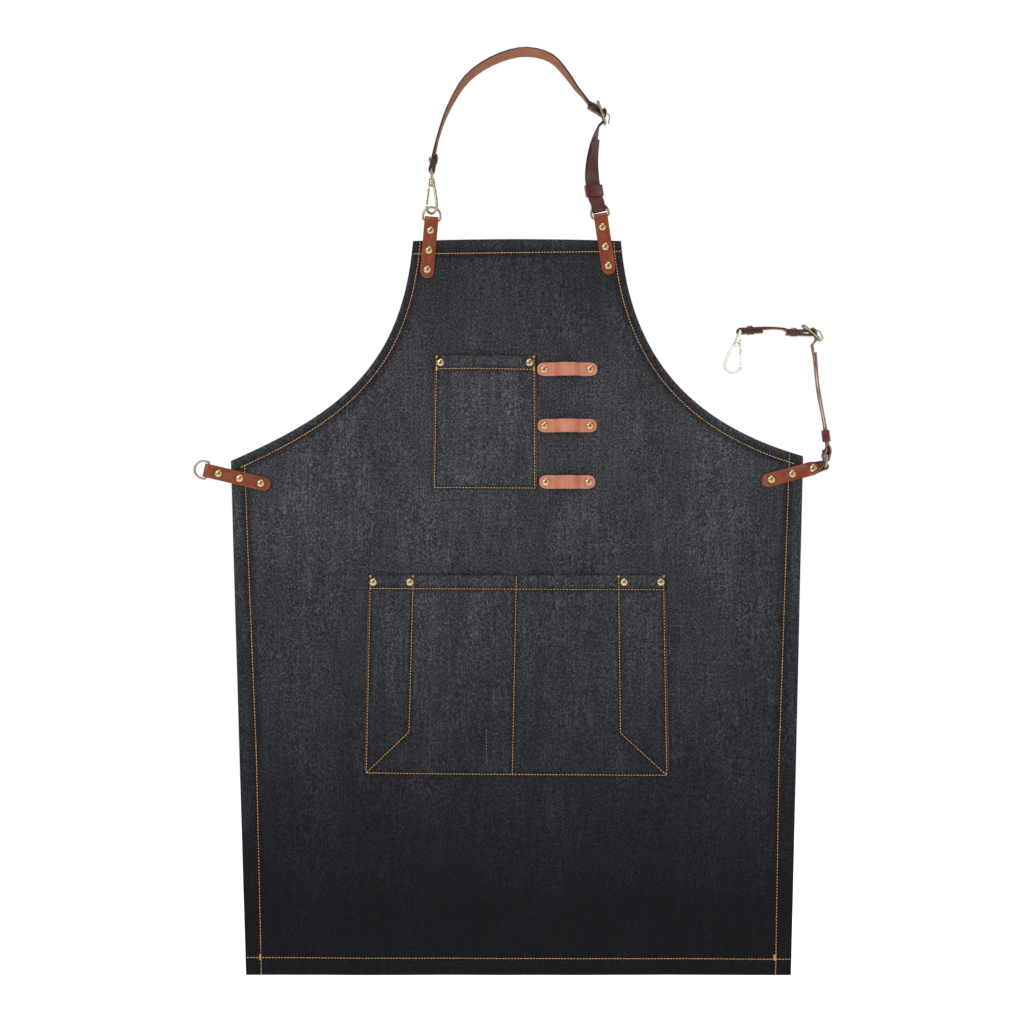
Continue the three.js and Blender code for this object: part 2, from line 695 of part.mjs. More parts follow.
const neckBar = barFoldDirections(neckBuckle);
foldRivet('neck_strap_rivet_snap', neckSnap.at, neckPull, neckPullOut, eyeRivetRadius);
foldRivet('neck_strap_rivet_buckle', neckBuckle.at, neckBar.pull, neckBar.out, BAR_FOLD);
addPiece('neck_strap', cut(ribbon(neckStations, STRAP_LEATHER), [
  prongSlot(neckBuckle),
  ...rivetHoles('neck_strap_rivet'),
]), 'strapLeather');

const NECK_KEEPER = { x: 81.6, z: -142.8 };
const neckKeeperRun = new THREE.Vector3(-0.16, 0, 0.987).normalize();
const keeperAt = (place, run, along) => point(place.x, place.z).addScaledVector(run, along);
const neckAdjusterStations = doubledStrap(ringNeckRight, neckRight, [
  { at: keeperAt(NECK_KEEPER, neckKeeperRun, -KEEPER_LONG / 2), across: across(82, 5) },
  { at: keeperAt(NECK_KEEPER, neckKeeperRun, KEEPER_LONG / 2), across: across(81.5, 4.6) },
  { at: keeperAt(NECK_KEEPER, neckKeeperRun, KEEPER_LONG), across: across(76, 3) },
  { at: point(79.6, -113), across: across(45) },
  { at: point(82.6, -92), across: across(25) },
  { at: inBuckle(neckBuckle, -12.5, -6.2), across: neckBuckle.w },
], 22, 12.5, overBar(neckBuckle, NECK_BUCKLE.exit, 8), 2);
const NECK_HOLES = [-92, -101.5, -115, -125]; // heights of the small adjusting holes

// Tools for the small adjusting holes, square to the strap where they are punched.
function adjustingHoles(stations, heights) {
  return heights.map((height) => {
    const i = stations.findIndex(({ at }) => at.z < height);
    const run = stations[i].at.clone().sub(stations[i - 1].at).normalize();
    const out = stations[i].across.clone().cross(run).normalize().multiplyScalar(1.5);
    const at = stations[i].at.clone().lerp(
      stations[i - 1].at,
      (height - stations[i].at.z) / (stations[i - 1].at.z - stations[i].at.z),
    );
    return rod(at.clone().sub(out), at.clone().add(out), 1, 6);
  });
}

addPiece('neck_adjuster_strap', cut(ribbon(neckAdjusterStations, STRAP_LEATHER), [
  prongHole(neckBuckle),
  ...adjustingHoles(neckAdjusterStations, NECK_HOLES),
]), 'strapLeather');
addPiece('neck_keeper', keeperGeometry(
  keeperAt(NECK_KEEPER, neckKeeperRun, 0),
  neckKeeperRun,
  across(81, 4.5),
), 'keeperLeather');

// ---------------------------------------------------------------- snaps
const BARREL_RADIUS = 2.9;
const BARREL_LONG = 3.4;
const EYE_DROP = EYE_TALL + 2 * SNAP_WIRE; // eye bar to the barrel's top
const COLLAR_TALL = 2.6;
const COLLAR_OUTER = 3.4;
const PIN_RADIUS = 1.3;

function snapPoint(snap, wide, up, deep = 0) {
  const through = snap.wide.clone().cross(snap.up);
  return snap.at.clone()
    .addScaledVector(snap.wide, wide)
    .addScaledVector(snap.up, up)
    .addScaledVector(through, deep);
}

// Eye, barrel and the headed pin on which the hook turns, as one casting.
function swivelGeometry(snap) {
  const eyeSide = snap.eyeAcross;
  const half = EYE_HALF + SNAP_WIRE;
  const outline = [[-half, -2], [-half + 1.5, 0], [half - 1.5, 0], [half, -2]];
  const low = [[half, -EYE_DROP + 4], [2.2, -EYE_DROP], [-2.2, -EYE_DROP], [-half, -EYE_DROP + 4]];
  const points = [...outline, ...low].map(([a, b]) => snap.at.clone()
    .addScaledVector(eyeSide, a)
    .addScaledVector(snap.up, b));
  const eye = wire(points, snap.up.clone().cross(eyeSide), SNAP_WIRE, { closed: true });
  const barrelTop = -EYE_DROP + 0.2;
  const barrelEnd = -EYE_DROP - BARREL_LONG;
  const headTop = barrelEnd - GAP * 2 - COLLAR_TALL;
  return join(
    eye,
    rod(snapPoint(snap, 0, barrelTop), snapPoint(snap, 0, barrelEnd), BARREL_RADIUS, 10),
    rod(snapPoint(snap, 0, barrelEnd + 0.2), snapPoint(snap, 0, headTop - 0.2), PIN_RADIUS),
    rod(snapPoint(snap, 0, headTop), snapPoint(snap, 0, headTop - 1.1), PIN_RADIUS + 0.8),
  );
}

const COLLAR_TOP = -EYE_DROP - BARREL_LONG - GAP;
const SNAP_FOOT = COLLAR_TOP - SNAP_LONG + SNAP_WIRE; // lowest wire centre of the hook
const BOW_HEIGHT = SNAP_FOOT + SNAP_BULGE; // height of the bow's widest place
const GATE_TOP = [4.5, COLLAR_TOP - 5.2];
const GATE_CLEAR = 1; // from the gate's hinge to the end of the hook's lug
const GATE_TIP = [SNAP_BULGE - 0.3, BOW_HEIGHT + 1.6];

function hookGeometry(snap) {
  const shoulder = COLLAR_TOP - COLLAR_TALL / 2;
  const left = [[-2.9, shoulder], [-4.2, COLLAR_TOP - 5], [-6.8, (COLLAR_TOP + BOW_HEIGHT) / 2 - 2]];
  const bow = [];
  const turns = 9;
  for (let i = 0; i <= turns; i += 1) {
    const angle = Math.PI + (i / turns) * Math.PI;
    bow.push([SNAP_BULGE * Math.cos(angle), BOW_HEIGHT + SNAP_BULGE * Math.sin(angle)]);
  }
  const path = [...left, ...bow].map(([a, b]) => snapPoint(snap, a, b));
  const through = snap.wide.clone().cross(snap.up);
  const lug = [[2.9, shoulder], [GATE_TOP[0] - 0.3, GATE_TOP[1] + GATE_CLEAR]]
    .map(([a, b]) => snapPoint(snap, a, b));
  const collarBottom = COLLAR_TOP - COLLAR_TALL;
  const collar = cut(
    rod(snapPoint(snap, 0, COLLAR_TOP), snapPoint(snap, 0, collarBottom), COLLAR_OUTER, 10),
    [rod(snapPoint(snap, 0, COLLAR_TOP + 1), snapPoint(snap, 0, collarBottom - 1), PIN_RADIUS + 0.35)],
  );
  return join(collar, wire(path, through, SNAP_WIRE), wire(lug, through, SNAP_WIRE));
}

function gateGeometry(snap) {
  const stem = rod(snapPoint(snap, ...GATE_TOP), snapPoint(snap, ...GATE_TIP), SNAP_WIRE * 0.9);
  const thumb = rod(
    snapPoint(snap, GATE_TOP[0] + 0.9, GATE_TOP[1] - 2.6),
    snapPoint(snap, GATE_TOP[0] + 3.2, GATE_TOP[1] - 2),
    0.8,
    6,
  );
  return join(stem, thumb);
}

for (const [prefix, snap] of [['neck', neckSnap], ['waist', waistSnap]]) {
  addPiece(`${prefix}_snap_swivel`, swivelGeometry(snap), 'brass');
  addPiece(`${prefix}_snap_hook`, hookGeometry(snap), 'brass');
  addPiece(`${prefix}_snap_gate`, gateGeometry(snap), 'brass');
}

// ---------------------------------------------------------------- waist strap
const waistBuckle = buckleFrame(WAIST_BUCKLE);
addPiece('waist_buckle_frame', frameGeometry(waistBuckle), 'brass');
addPiece('waist_buckle_prong', prongGeometry(waistBuckle), 'brass');

const waistPull = new THREE.Vector3(0.995, 0, 0.06).normalize();
const waistPullOut = new THREE.Vector3(-0.06, 0, 0.995).normalize();
const waistBar = barFoldDirections(waistBuckle);
const waistEyeFold = eyeFold(waistSnap, waistPullOut, waistPull, 24);
const SHORT_STRAP_MIDDLE = [[262, -287.9], [272, -288.2], [282, -289]];
const waistShortStations = [
  ...waistEyeFold,
  ...SHORT_STRAP_MIDDLE.map(([x, z]) => ({
    at: point(x, z),
    across: new THREE.Vector3(0, 1, 0),
    half: STRAP_HALF,
  })),
  ...barFold(waistBuckle, 26, 27),
];
foldRivet('waist_strap_rivet_snap', waistSnap.at, waistPull, waistPullOut, eyeRivetRadius);
rivet(
  'waist_strap_rivet_buckle',
  waistBuckle.at.clone().addScaledVector(waistBar.pull, WAIST_TAIL_RIVET),
  waistBar.out,
  FOLD_STACK,
);
addPiece('waist_short_strap', cut(ribbon(waistShortStations, STRAP_LEATHER), [
  prongSlot(waistBuckle),
  ...rivetHoles('waist_strap_rivet'),
]), 'strapLeather');

const WAIST_KEEPER = { x: 327.5, z: -402.5 };
const waistKeeperRun = new THREE.Vector3(-0.13, 0, 0.99).normalize();
const waistAdjusterStations = doubledStrap(ringWaistRight, waistRight, [
  { at: keeperAt(WAIST_KEEPER, waistKeeperRun, -KEEPER_LONG / 2), across: across(12) },
  { at: keeperAt(WAIST_KEEPER, waistKeeperRun, KEEPER_LONG / 2), across: across(10) },
  { at: keeperAt(WAIST_KEEPER, waistKeeperRun, KEEPER_LONG), across: across(8) },
  { at: point(318.6, -350), across: across(8) },
  { at: point(315.6, -318), across: across(4) },
  { at: inBuckle(waistBuckle, -9, -8.6), across: waistBuckle.w },
], 22, 12.5, overBar(waistBuckle, WAIST_BUCKLE.exit, 8), 2);
addPiece('waist_adjuster_strap', cut(ribbon(waistAdjusterStations, STRAP_LEATHER), [
  prongHole(waistBuckle),
]), 'strapLeather');
addPiece('waist_keeper', keeperGeometry(
  keeperAt(WAIST_KEEPER, waistKeeperRun, 0),
  waistKeeperRun,
  across(11),
), 'keeperLeather');

// ---------------------------------------------------------------- pockets
// Moves each edge of a polygon inwards by its own distance.
function insetPolygon(points, insets) {
  const count = points.length;
  const edges = points.map((from, i) => {
    const to = points[(i + 1) % count];
    const run = [to[0] - from[0], to[1] - from[1]];
    const long = Math.hypot(...run);
    const inward = [-run[1] / long, run[0] / long];
    return { at: [from[0] + inward[0] * insets[i], from[1] + inward[1] * insets[i]], run };
  });
  return points.map((_, i) => {
    const a = edges[(i + count - 1) % count];
    const b = edges[i];
    const cross = a.run[0] * b.run[1] - a.run[1] * b.run[0];
    const t = ((b.at[0] - a.at[0]) * b.run[1] - (b.at[1] - a.at[1]) * b.run[0]) / cross;
    return [a.at[0] + a.run[0] * t, a.at[1] + a.run[1] * t];
  });
}

// A block between outlines of x and z at two or more depths.
function block(layers) {
  const flat = layers[0].outline.map(([x, z]) => new THREE.Vector2(x, z));
  const capFaces = THREE.ShapeUtils.triangulateShape(flat, []);
  return loft(layers.map(({ outline, y }) => outline.map(([x, z]) => point(x, z, y))), { capFaces });
}

// A patch pocket: a flat sheet raised over each compartment, open at the top.
function pocketGeometry(outline, compartments, deep, rivetWords) {
  const back = -GAP;
  const front = back - PATCH;
  const shape = new THREE.Shape(outline.map(([x, z]) => new THREE.Vector2(x, z)));
  let solid = toSolid(sheet(shape, front, back));
  const cavities = [];
  for (const { corners, flanges } of compartments) {
    const foot = insetPolygon(corners, flanges);
    const face = insetPolygon(corners, flanges.map((flange) => (flange > 0 ? flange + PLEAT : 0)));
    const past = flanges.map((flange) => (flange > 0 ? 0 : -2));
    const outer = [
      { outline: foot, y: back - PATCH / 2 },
      { outline: foot, y: front },
      { outline: face, y: front - deep },
    ];
    solid = solid.add(toSolid(block(outer)));
    cavities.push(toSolid(block([
      { outline: insetPolygon(foot, past), y: back + 1 },
      { outline: insetPolygon(foot, past), y: back },
      { outline: insetPolygon(face, past), y: back - deep },
    ])));
  }
  cavities.forEach((cavity) => {
    solid = solid.subtract(cavity);
  });
  rivetHoles(rivetWords).forEach((hole) => {
    solid = solid.subtract(toSolid(hole));
  });
  return toGeometry(solid);
}

const POCKET_STACK = DENIM + GAP + PATCH;
const pocketRivetY = MIDDLE_Y - (GAP + PATCH) / 2;

function pocketRivet(name, x, top) {
  rivet(name, point(x, top - POCKET_RIVET_INSET, pocketRivetY), FRONT, POCKET_STACK);
}

const chestBottom = CHEST.top - CHEST.tall;
const chestOutline = [
  [CHEST.middle - CHEST.topHalf, CHEST.top],
  [CHEST.middle - CHEST.bottomHalf, chestBottom],
  [CHEST.middle + CHEST.bottomHalf, chestBottom],
  [CHEST.middle + CHEST.topHalf, CHEST.top],
];
for (const [side, sign] of [['left', -1], ['right', 1]]) {
  const x = CHEST.middle + sign * (CHEST.topHalf - POCKET_RIVET_INSET);
  pocketRivet(`chest_pocket_rivet_${side}`, x, CHEST.top);
}
addPiece('chest_pocket', pocketGeometry(chestOutline, [
  { corners: chestOutline, flanges: [RIVET_FLANGE, 4, RIVET_FLANGE, 0] },
], CHEST.deep, 'chest_pocket_rivet'), 'denim');

const lowerBottom = LOWER.top - LOWER.tall;
const lowerOutline = [
  [LOWER.middle - LOWER.topHalf, LOWER.top],
  [LOWER.middle - LOWER.bottomHalf, lowerBottom],
  [LOWER.middle + LOWER.bottomHalf, lowerBottom],
  [LOWER.middle + LOWER.topHalf, LOWER.top],
];
const seamFoot = LOWER.top - LOWER_SEAM_TALL;
const SEAM_RIVET_FLANGE = RIVET_FLANGE - 2;
const lowerSide = [
  [-LOWER.topHalf, LOWER.top],
  [-LOWER.bottomHalf, lowerBottom],
  [-LOWER_SEAM_BOTTOM, seamFoot],
  [-LOWER_SEAM_TOP, LOWER.top],
];
const lowerCentre = [
  [-LOWER_SEAM_TOP, LOWER.top],
  [-LOWER_SEAM_BOTTOM, seamFoot],
  [-LOWER.bottomHalf, lowerBottom],
  [0, lowerBottom],
  [0, LOWER.top],
];
const mirrored = (corners) => corners.map(([x, z]) => [-x, z]).reverse();
const shifted = (corners) => corners.map(([x, z]) => [x + LOWER.middle, z]);
const sideFlanges = [RIVET_FLANGE, SEAM_FLANGE, SEAM_RIVET_FLANGE, 0];
const centreFlanges = [SEAM_FLANGE, SEAM_FLANGE, 4, SEAM_FLANGE, 0];
// a mirrored outline runs backwards, so its edges change order too
const backwards = (flanges) => [...flanges.slice(0, -1).reverse(), flanges[flanges.length - 1]];
for (const [side, sign] of [['left', -1], ['right', 1]]) {
  const edge = LOWER.middle + sign * (LOWER.topHalf - POCKET_RIVET_INSET + 2);
  const seam = LOWER.middle + sign * (LOWER_SEAM_TOP + 4.5);
  pocketRivet(`lower_pocket_rivet_outer_${side}`, edge, LOWER.top);
  pocketRivet(`lower_pocket_rivet_inner_${side}`, seam, LOWER.top);
}
addPiece('lower_pocket', pocketGeometry(lowerOutline, [
  { corners: shifted(lowerSide), flanges: sideFlanges },
  { corners: shifted(lowerCentre), flanges: centreFlanges },
  { corners: shifted(mirrored(lowerCentre)), flanges: backwards(centreFlanges) },
  { corners: shifted(mirrored(lowerSide)), flanges: backwards(sideFlanges) },
], LOWER.deep, 'lower_pocket_rivet'), 'denim');

// ---------------------------------------------------------------- pen loops
const LOOP_FLAT = -GAP - TAB_LEATHER / 2;
const LOOP_CROWN = -GAP - PEN_RISE - TAB_LEATHER / 2;

function penLoopGeometry(height, halfLong, rivetWords) {
  const profile = [
    [halfLong - 0.4, LOOP_FLAT, 0.32],
    [halfLong - 1.6, LOOP_FLAT, 0.62],
    [halfLong - 3.6, LOOP_FLAT, 0.86],
    [halfLong - TAB_HALF, LOOP_FLAT, 1],
    [PEN_FOOT, LOOP_FLAT, 1],
    [(PEN_FOOT + PEN_CROWN) / 2, (LOOP_FLAT + LOOP_CROWN) / 2, 1],
    [PEN_CROWN, LOOP_CROWN + 0.8, 1],
    [PEN_CROWN / 2, LOOP_CROWN, 1],
  ];
  const station = (sign) => ([x, y, share]) => ({
    at: point(PEN_LOOP_X + sign * x, height, y),
    across: new THREE.Vector3(0, 0, 1),
    half: TAB_HALF * share,
  });
  const stations = [...profile.map(station(-1)), ...profile.reverse().map(station(1))];
  return cut(ribbon(stations, TAB_LEATHER), rivetHoles(rivetWords));
}

for (const [name, height] of Object.entries(PEN_LOOP_HEIGHTS)) {
  const words = `pen_loop_${name}_rivet`;
  for (const [side, sign] of [['left', -1], ['right', 1]]) {
    const out = sign * PEN_RIVET_OUT * (PEN_LOOP_HALF_LONG[name] / PEN_LOOP_HALF_LONG.top);
    const middle = point(PEN_LOOP_X + out, height, MIDDLE_Y - (GAP + TAB_LEATHER) / 2);
    rivet(`${words}_${side}`, middle, FRONT, DENIM + GAP + TAB_LEATHER);
  }
  addPiece(`pen_loop_${name}`, penLoopGeometry(height, PEN_LOOP_HALF_LONG[name], words), 'loopLeather');
}

// ---------------------------------------------------------------- apron body
const bodyShape = new THREE.Shape();
bodyShape.moveTo(-HEM_HALF_LEFT, HEM);
bodyShape.lineTo(HEM_HALF_RIGHT, HEM);
bodyShape.lineTo(WAIST_HALF, WAIST_RIGHT);
bodyShape.bezierCurveTo(188, -391, 120, -323, BIB_HALF, BIB_TOP);
bodyShape.quadraticCurveTo(0, BIB_TOP + 2 * TOP_RISE, -BIB_HALF, BIB_TOP);
bodyShape.bezierCurveTo(-121.5, -330, -188.5, -379, -WAIST_HALF, WAIST_LEFT);
addPiece('apron_body', cut(sheet(bodyShape, 0, DENIM, 12), rivetHoles(
  'neck_tab',
  'waist_tab',
  'chest_pocket',
  'lower_pocket',
  'pen_loop',
)), 'denim');

export default apron;
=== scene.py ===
"""A work apron hanging by its neck strap: washed denim, stitched pockets, leather fittings and antique brass.

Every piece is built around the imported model, in metres, +Z up, the front of the apron towards -Y.
"""

import json
import logging
import math
from contextlib import contextmanager
from dataclasses import dataclass
from enum import Enum
from typing import Callable, Iterable, Iterator, Sequence

import bpy
import numpy as np
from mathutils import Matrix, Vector, noise
from mathutils.bvhtree import BVHTree

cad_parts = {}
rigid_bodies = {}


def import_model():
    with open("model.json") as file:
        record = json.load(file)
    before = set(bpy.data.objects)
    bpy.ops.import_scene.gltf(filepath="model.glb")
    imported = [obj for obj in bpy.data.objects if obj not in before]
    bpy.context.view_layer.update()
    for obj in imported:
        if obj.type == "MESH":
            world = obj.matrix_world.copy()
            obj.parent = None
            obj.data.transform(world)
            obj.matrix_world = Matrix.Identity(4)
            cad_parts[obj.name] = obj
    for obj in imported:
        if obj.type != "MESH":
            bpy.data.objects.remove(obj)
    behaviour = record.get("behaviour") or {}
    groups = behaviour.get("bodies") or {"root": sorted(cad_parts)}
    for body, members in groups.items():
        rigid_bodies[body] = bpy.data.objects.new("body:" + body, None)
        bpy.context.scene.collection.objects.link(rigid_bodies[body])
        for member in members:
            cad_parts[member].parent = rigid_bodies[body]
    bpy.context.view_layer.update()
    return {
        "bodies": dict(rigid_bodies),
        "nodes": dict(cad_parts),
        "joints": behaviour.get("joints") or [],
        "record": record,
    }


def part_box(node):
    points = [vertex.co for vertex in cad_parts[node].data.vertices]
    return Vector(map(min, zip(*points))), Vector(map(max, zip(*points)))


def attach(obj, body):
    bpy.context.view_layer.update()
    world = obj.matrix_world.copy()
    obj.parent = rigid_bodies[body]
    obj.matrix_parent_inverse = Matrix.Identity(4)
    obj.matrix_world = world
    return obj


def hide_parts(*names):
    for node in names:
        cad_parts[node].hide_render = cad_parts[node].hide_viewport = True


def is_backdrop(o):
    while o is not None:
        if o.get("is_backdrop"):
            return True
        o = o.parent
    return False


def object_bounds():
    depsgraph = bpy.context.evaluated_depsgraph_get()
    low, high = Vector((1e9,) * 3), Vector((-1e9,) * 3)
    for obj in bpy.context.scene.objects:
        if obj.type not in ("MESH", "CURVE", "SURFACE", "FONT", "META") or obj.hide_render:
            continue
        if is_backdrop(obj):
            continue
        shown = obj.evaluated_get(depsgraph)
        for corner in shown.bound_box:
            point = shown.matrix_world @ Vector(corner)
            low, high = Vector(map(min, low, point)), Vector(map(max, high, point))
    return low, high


MM = 0.001
LOG = logging.getLogger("apron")
FAR_AWAY = 1e6
SOFT_TURN = 60
CUT_TURN = 44

Colour = tuple[float, float, float]
Line = Sequence[tuple[float, float]]
Surface = Callable[[np.ndarray, np.ndarray], np.ndarray]


# ---------------------------------------------------------------- small tools
def smoothstep(low: float, high: float, value: np.ndarray) -> np.ndarray:
    """A smooth rise from 0 at `low` to 1 at `high`."""
    share = np.clip((value - low) / (high - low), 0, 1)
    return share * share * (3 - 2 * share)


def ripple(x: np.ndarray, z: np.ndarray, wide: float, tall: float, seed: float) -> np.ndarray:
    """Smooth noise over the cloth.

    Args:
        x: Places across, in millimetres.
        z: Places down, in millimetres.
        wide: Size of one ripple across.
        tall: Size of one ripple down.
        seed: Which noise of its kind.

    Returns:
        Values from about -1 to 1, in the shape of `x`.
    """
    flat = [noise.noise(Vector((a / wide, seed, b / tall))) for a, b in zip(x.ravel(), z.ravel())]
    return np.array(flat).reshape(x.shape)


def line_distance(x: np.ndarray, z: np.ndarray, lines: Iterable[Line]) -> np.ndarray:
    """The distance from each point to the nearest of several lines of points."""
    best = np.full(x.shape, FAR_AWAY)
    for line in lines:
        for (ax, az), (bx, bz) in zip(line, line[1:]):
            run = np.array([bx - ax, bz - az])
            share = ((x - ax) * run[0] + (z - az) * run[1]) / max(float(run @ run), 1e-9)
            share = np.clip(share, 0, 1)
            best = np.minimum(best, np.hypot(x - ax - share * run[0], z - az - share * run[1]))
    return best


def bezier(points: Line, count: int) -> np.ndarray:
    """Points along a cubic curve."""
    t = np.linspace(0, 1, count)[:, None]
    a, b, c, d = (np.array(p, float) for p in points)
    return (1 - t) ** 3 * a + 3 * t * (1 - t) ** 2 * b + 3 * t * t * (1 - t) * c + t**3 * d


def select_only(piece: bpy.types.Object) -> None:
    """Selects one object and makes it active."""
    bpy.ops.object.select_all(action="DESELECT")
    piece.select_set(True)
    bpy.context.view_layer.objects.active = piece


def new_piece(name: str, vertices: np.ndarray, faces: Sequence[Sequence[int]]) -> bpy.types.Object:
    """An object at the origin from points in metres and their faces."""
    mesh = bpy.data.meshes.new(name)
    mesh.from_pydata([tuple(v) for v in vertices], [], [tuple(f) for f in faces])
    mesh.update()
    piece = bpy.data.objects.new(name, mesh)
    bpy.context.collection.objects.link(piece)
    return piece


def points_and_faces(piece: bpy.types.Object) -> tuple[np.ndarray, list[tuple[int, ...]]]:
    """The points and faces of a piece, which is then deleted."""
    points = np.array([v.co for v in piece.data.vertices], float)
    faces = [tuple(p.vertices) for p in piece.data.polygons]
    bpy.data.objects.remove(piece, do_unlink=True)
    return points, faces


@contextmanager
def editing(piece: bpy.types.Object) -> Iterator[None]:
    """Edit mode on the whole of a piece."""
    select_only(piece)
    bpy.ops.object.mode_set(mode="EDIT")
    bpy.ops.mesh.select_all(action="SELECT")
    yield
    bpy.ops.object.mode_set(mode="OBJECT")


def face_outwards(piece: bpy.types.Object) -> None:
    """Turns every face of a closed mesh outwards."""
    with editing(piece):
        bpy.ops.mesh.normals_make_consistent(inside=False)


def apply_modifier(piece: bpy.types.Object, name: str, kind: str, **settings: object) -> None:
    """Gives the selected piece a modifier with these settings and applies it."""
    modifier = piece.modifiers.new(name, kind)
    for setting, value in settings.items():
        setattr(modifier, setting, value)
    bpy.ops.object.modifier_apply(modifier=modifier.name)


def tree_of(mesh: bpy.types.Mesh) -> BVHTree:
    """The faces of a mesh, ready for rays and nearest points."""
    return BVHTree.FromPolygons([v.co for v in mesh.vertices], [p.vertices for p in mesh.polygons])


def smooth(piece: bpy.types.Object, angle: float) -> None:
    """Shades a piece smooth where it turns by less than `angle` degrees."""
    select_only(piece)
    bpy.ops.object.shade_smooth_by_angle(angle=math.radians(angle))


def store(piece: bpy.types.Object, name: str, values: np.ndarray) -> None:
    """Keeps one number a point on a mesh, for its material to read."""
    attribute = piece.data.attributes.new(name, "FLOAT", "POINT")
    attribute.data.foreach_set("value", values.astype(np.float32).ravel())


# ---------------------------------------------------------------- materials
class Value:
    """A shader socket that takes part in arithmetic."""

    def __init__(self, shader: "Nodes", socket: bpy.types.NodeSocket) -> None:
        """Wraps one output socket of a shader."""
        self.shader = shader
        self.socket = socket

    def _math(self, operation: str, first: "Value | float", second: "Value | float") -> "Value":
        """A Math node of one operation on two values."""
        made = self.shader.node("ShaderNodeMath", {"operation": operation}, {0: first, 1: second})
        return Value(self.shader, made.outputs[0])

    def __add__(self, other: "Value | float") -> "Value":
        """self + other."""
        return self._math("ADD", self, other)

    def __mul__(self, other: "Value | float") -> "Value":
        """self * other."""
        return self._math("MULTIPLY", self, other)

    def between(self, low: float, high: float, out_low: float = 0.0, out_high: float = 1.0) -> "Value":
        """The value's place between two limits, held to them and stretched to the output limits."""
        made = self.shader.node(
            "ShaderNodeMapRange",
            {"clamp": True},
            {"Value": self, "From Min": low, "From Max": high, "To Min": out_low, "To Max": out_high},
        )
        return Value(self.shader, made.outputs[0])


class Nodes:
    """A tree of shader nodes, built a node at a time."""

    def __init__(self, tree: bpy.types.NodeTree) -> None:
        """Empties a tree to build in."""
        self.tree = tree
        self.tree.nodes.clear()

    def node(self, kind: str, settings: dict | None = None, inputs: dict | None = None) -> bpy.types.Node:
        """One node of any kind.

        Args:
            kind: The node's type.
            settings: Its properties.
            inputs: Values, colours or links by socket name or number.

        Returns:
            The node.
        """
        made = self.tree.nodes.new(kind)
        for name, value in (settings or {}).items():
            setattr(made, name, value)
        for name, value in (inputs or {}).items():
            self.feed(made.inputs[name], value)
        return made

    def feed(self, socket: bpy.types.NodeSocket, value: object) -> None:
        """Links a value or a socket to an input, or sets the input to a number or a colour."""
        if isinstance(value, Value):
            self.tree.links.new(value.socket, socket)
        elif isinstance(value, bpy.types.NodeSocket):
            self.tree.links.new(value, socket)
        elif socket.type == "RGBA":
            socket.default_value = (*value, 1)
        else:
            socket.default_value = value

    def mix(self, share: "Value | float", first: object, second: object) -> bpy.types.NodeSocket:
        """Two colours mixed by a share of the second."""
        made = self.node("ShaderNodeMix", {"data_type": "RGBA"}, {0: share, 6: first, 7: second})
        return made.outputs[2]

    def axes(self, coordinates: str) -> list[Value]:
        """X, Y and Z of one kind of texture coordinates."""
        where = self.node("ShaderNodeTexCoord").outputs[coordinates]
        parts = self.node("ShaderNodeSeparateXYZ", {}, {0: where})
        return [Value(self, socket) for socket in parts.outputs]


class Shader(Nodes):
    """A material on one Principled shader."""

    def __init__(self, name: str, roughness: float = 0.5) -> None:
        """Starts a material with its Principled shader joined to the output."""
        self.material = bpy.data.materials.new(name)
        self.material.use_nodes = True
        super().__init__(self.material.node_tree)
        self.surface = self.node("ShaderNodeBsdfPrincipled", {}, {"Roughness": roughness})
        output = self.node("ShaderNodeOutputMaterial")
        self.tree.links.new(self.surface.outputs[0], output.inputs["Surface"])

    def look(self, name: str, value: object) -> None:
        """Sets or links one input of the Principled shader."""
        self.feed(self.surface.inputs[name], value)

    def place(self, scale: Sequence[float], turn: Sequence[float] = (0, 0, 0)) -> bpy.types.NodeSocket:
        """Object coordinates, scaled per metre and turned by degrees."""
        where = self.node("ShaderNodeTexCoord").outputs["Object"]
        turned = tuple(math.radians(a) for a in turn)
        made = self.node("ShaderNodeMapping", {}, {"Vector": where, "Rotation": turned})
        settings = {"operation": "MULTIPLY"}
        return self.node("ShaderNodeVectorMath", settings, {0: made.outputs[0], 1: scale}).outputs[0]

    def cloudy(self, where: bpy.types.NodeSocket, detail: float = 3, roughness: float = 0.55) -> Value:
        """Noise of unit size at a place."""
        inputs = {"Vector": where, "Scale": 1.0, "Detail": detail, "Roughness": roughness}
        return Value(self, self.node("ShaderNodeTexNoise", {}, inputs).outputs[0])

    def attribute(self, name: str) -> Value:
        """A number stored on the mesh."""
        made = self.node("ShaderNodeAttribute", {"attribute_name": name})
        return Value(self, made.outputs["Fac"])

    def bump(self, height: Value, depth: float, strength: float = 1.0) -> None:
        """Raises the surface by a height from 0 to 1, `depth` metres deep."""
        made = self.node("ShaderNodeBump", {}, {"Height": height, "Distance": depth, "Strength": strength})
        self.look("Normal", made.outputs[0])

    def dress(self, piece: bpy.types.Object) -> None:
        """Gives a piece this material alone."""
        piece.data.materials.clear()
        piece.data.materials.append(self.material)


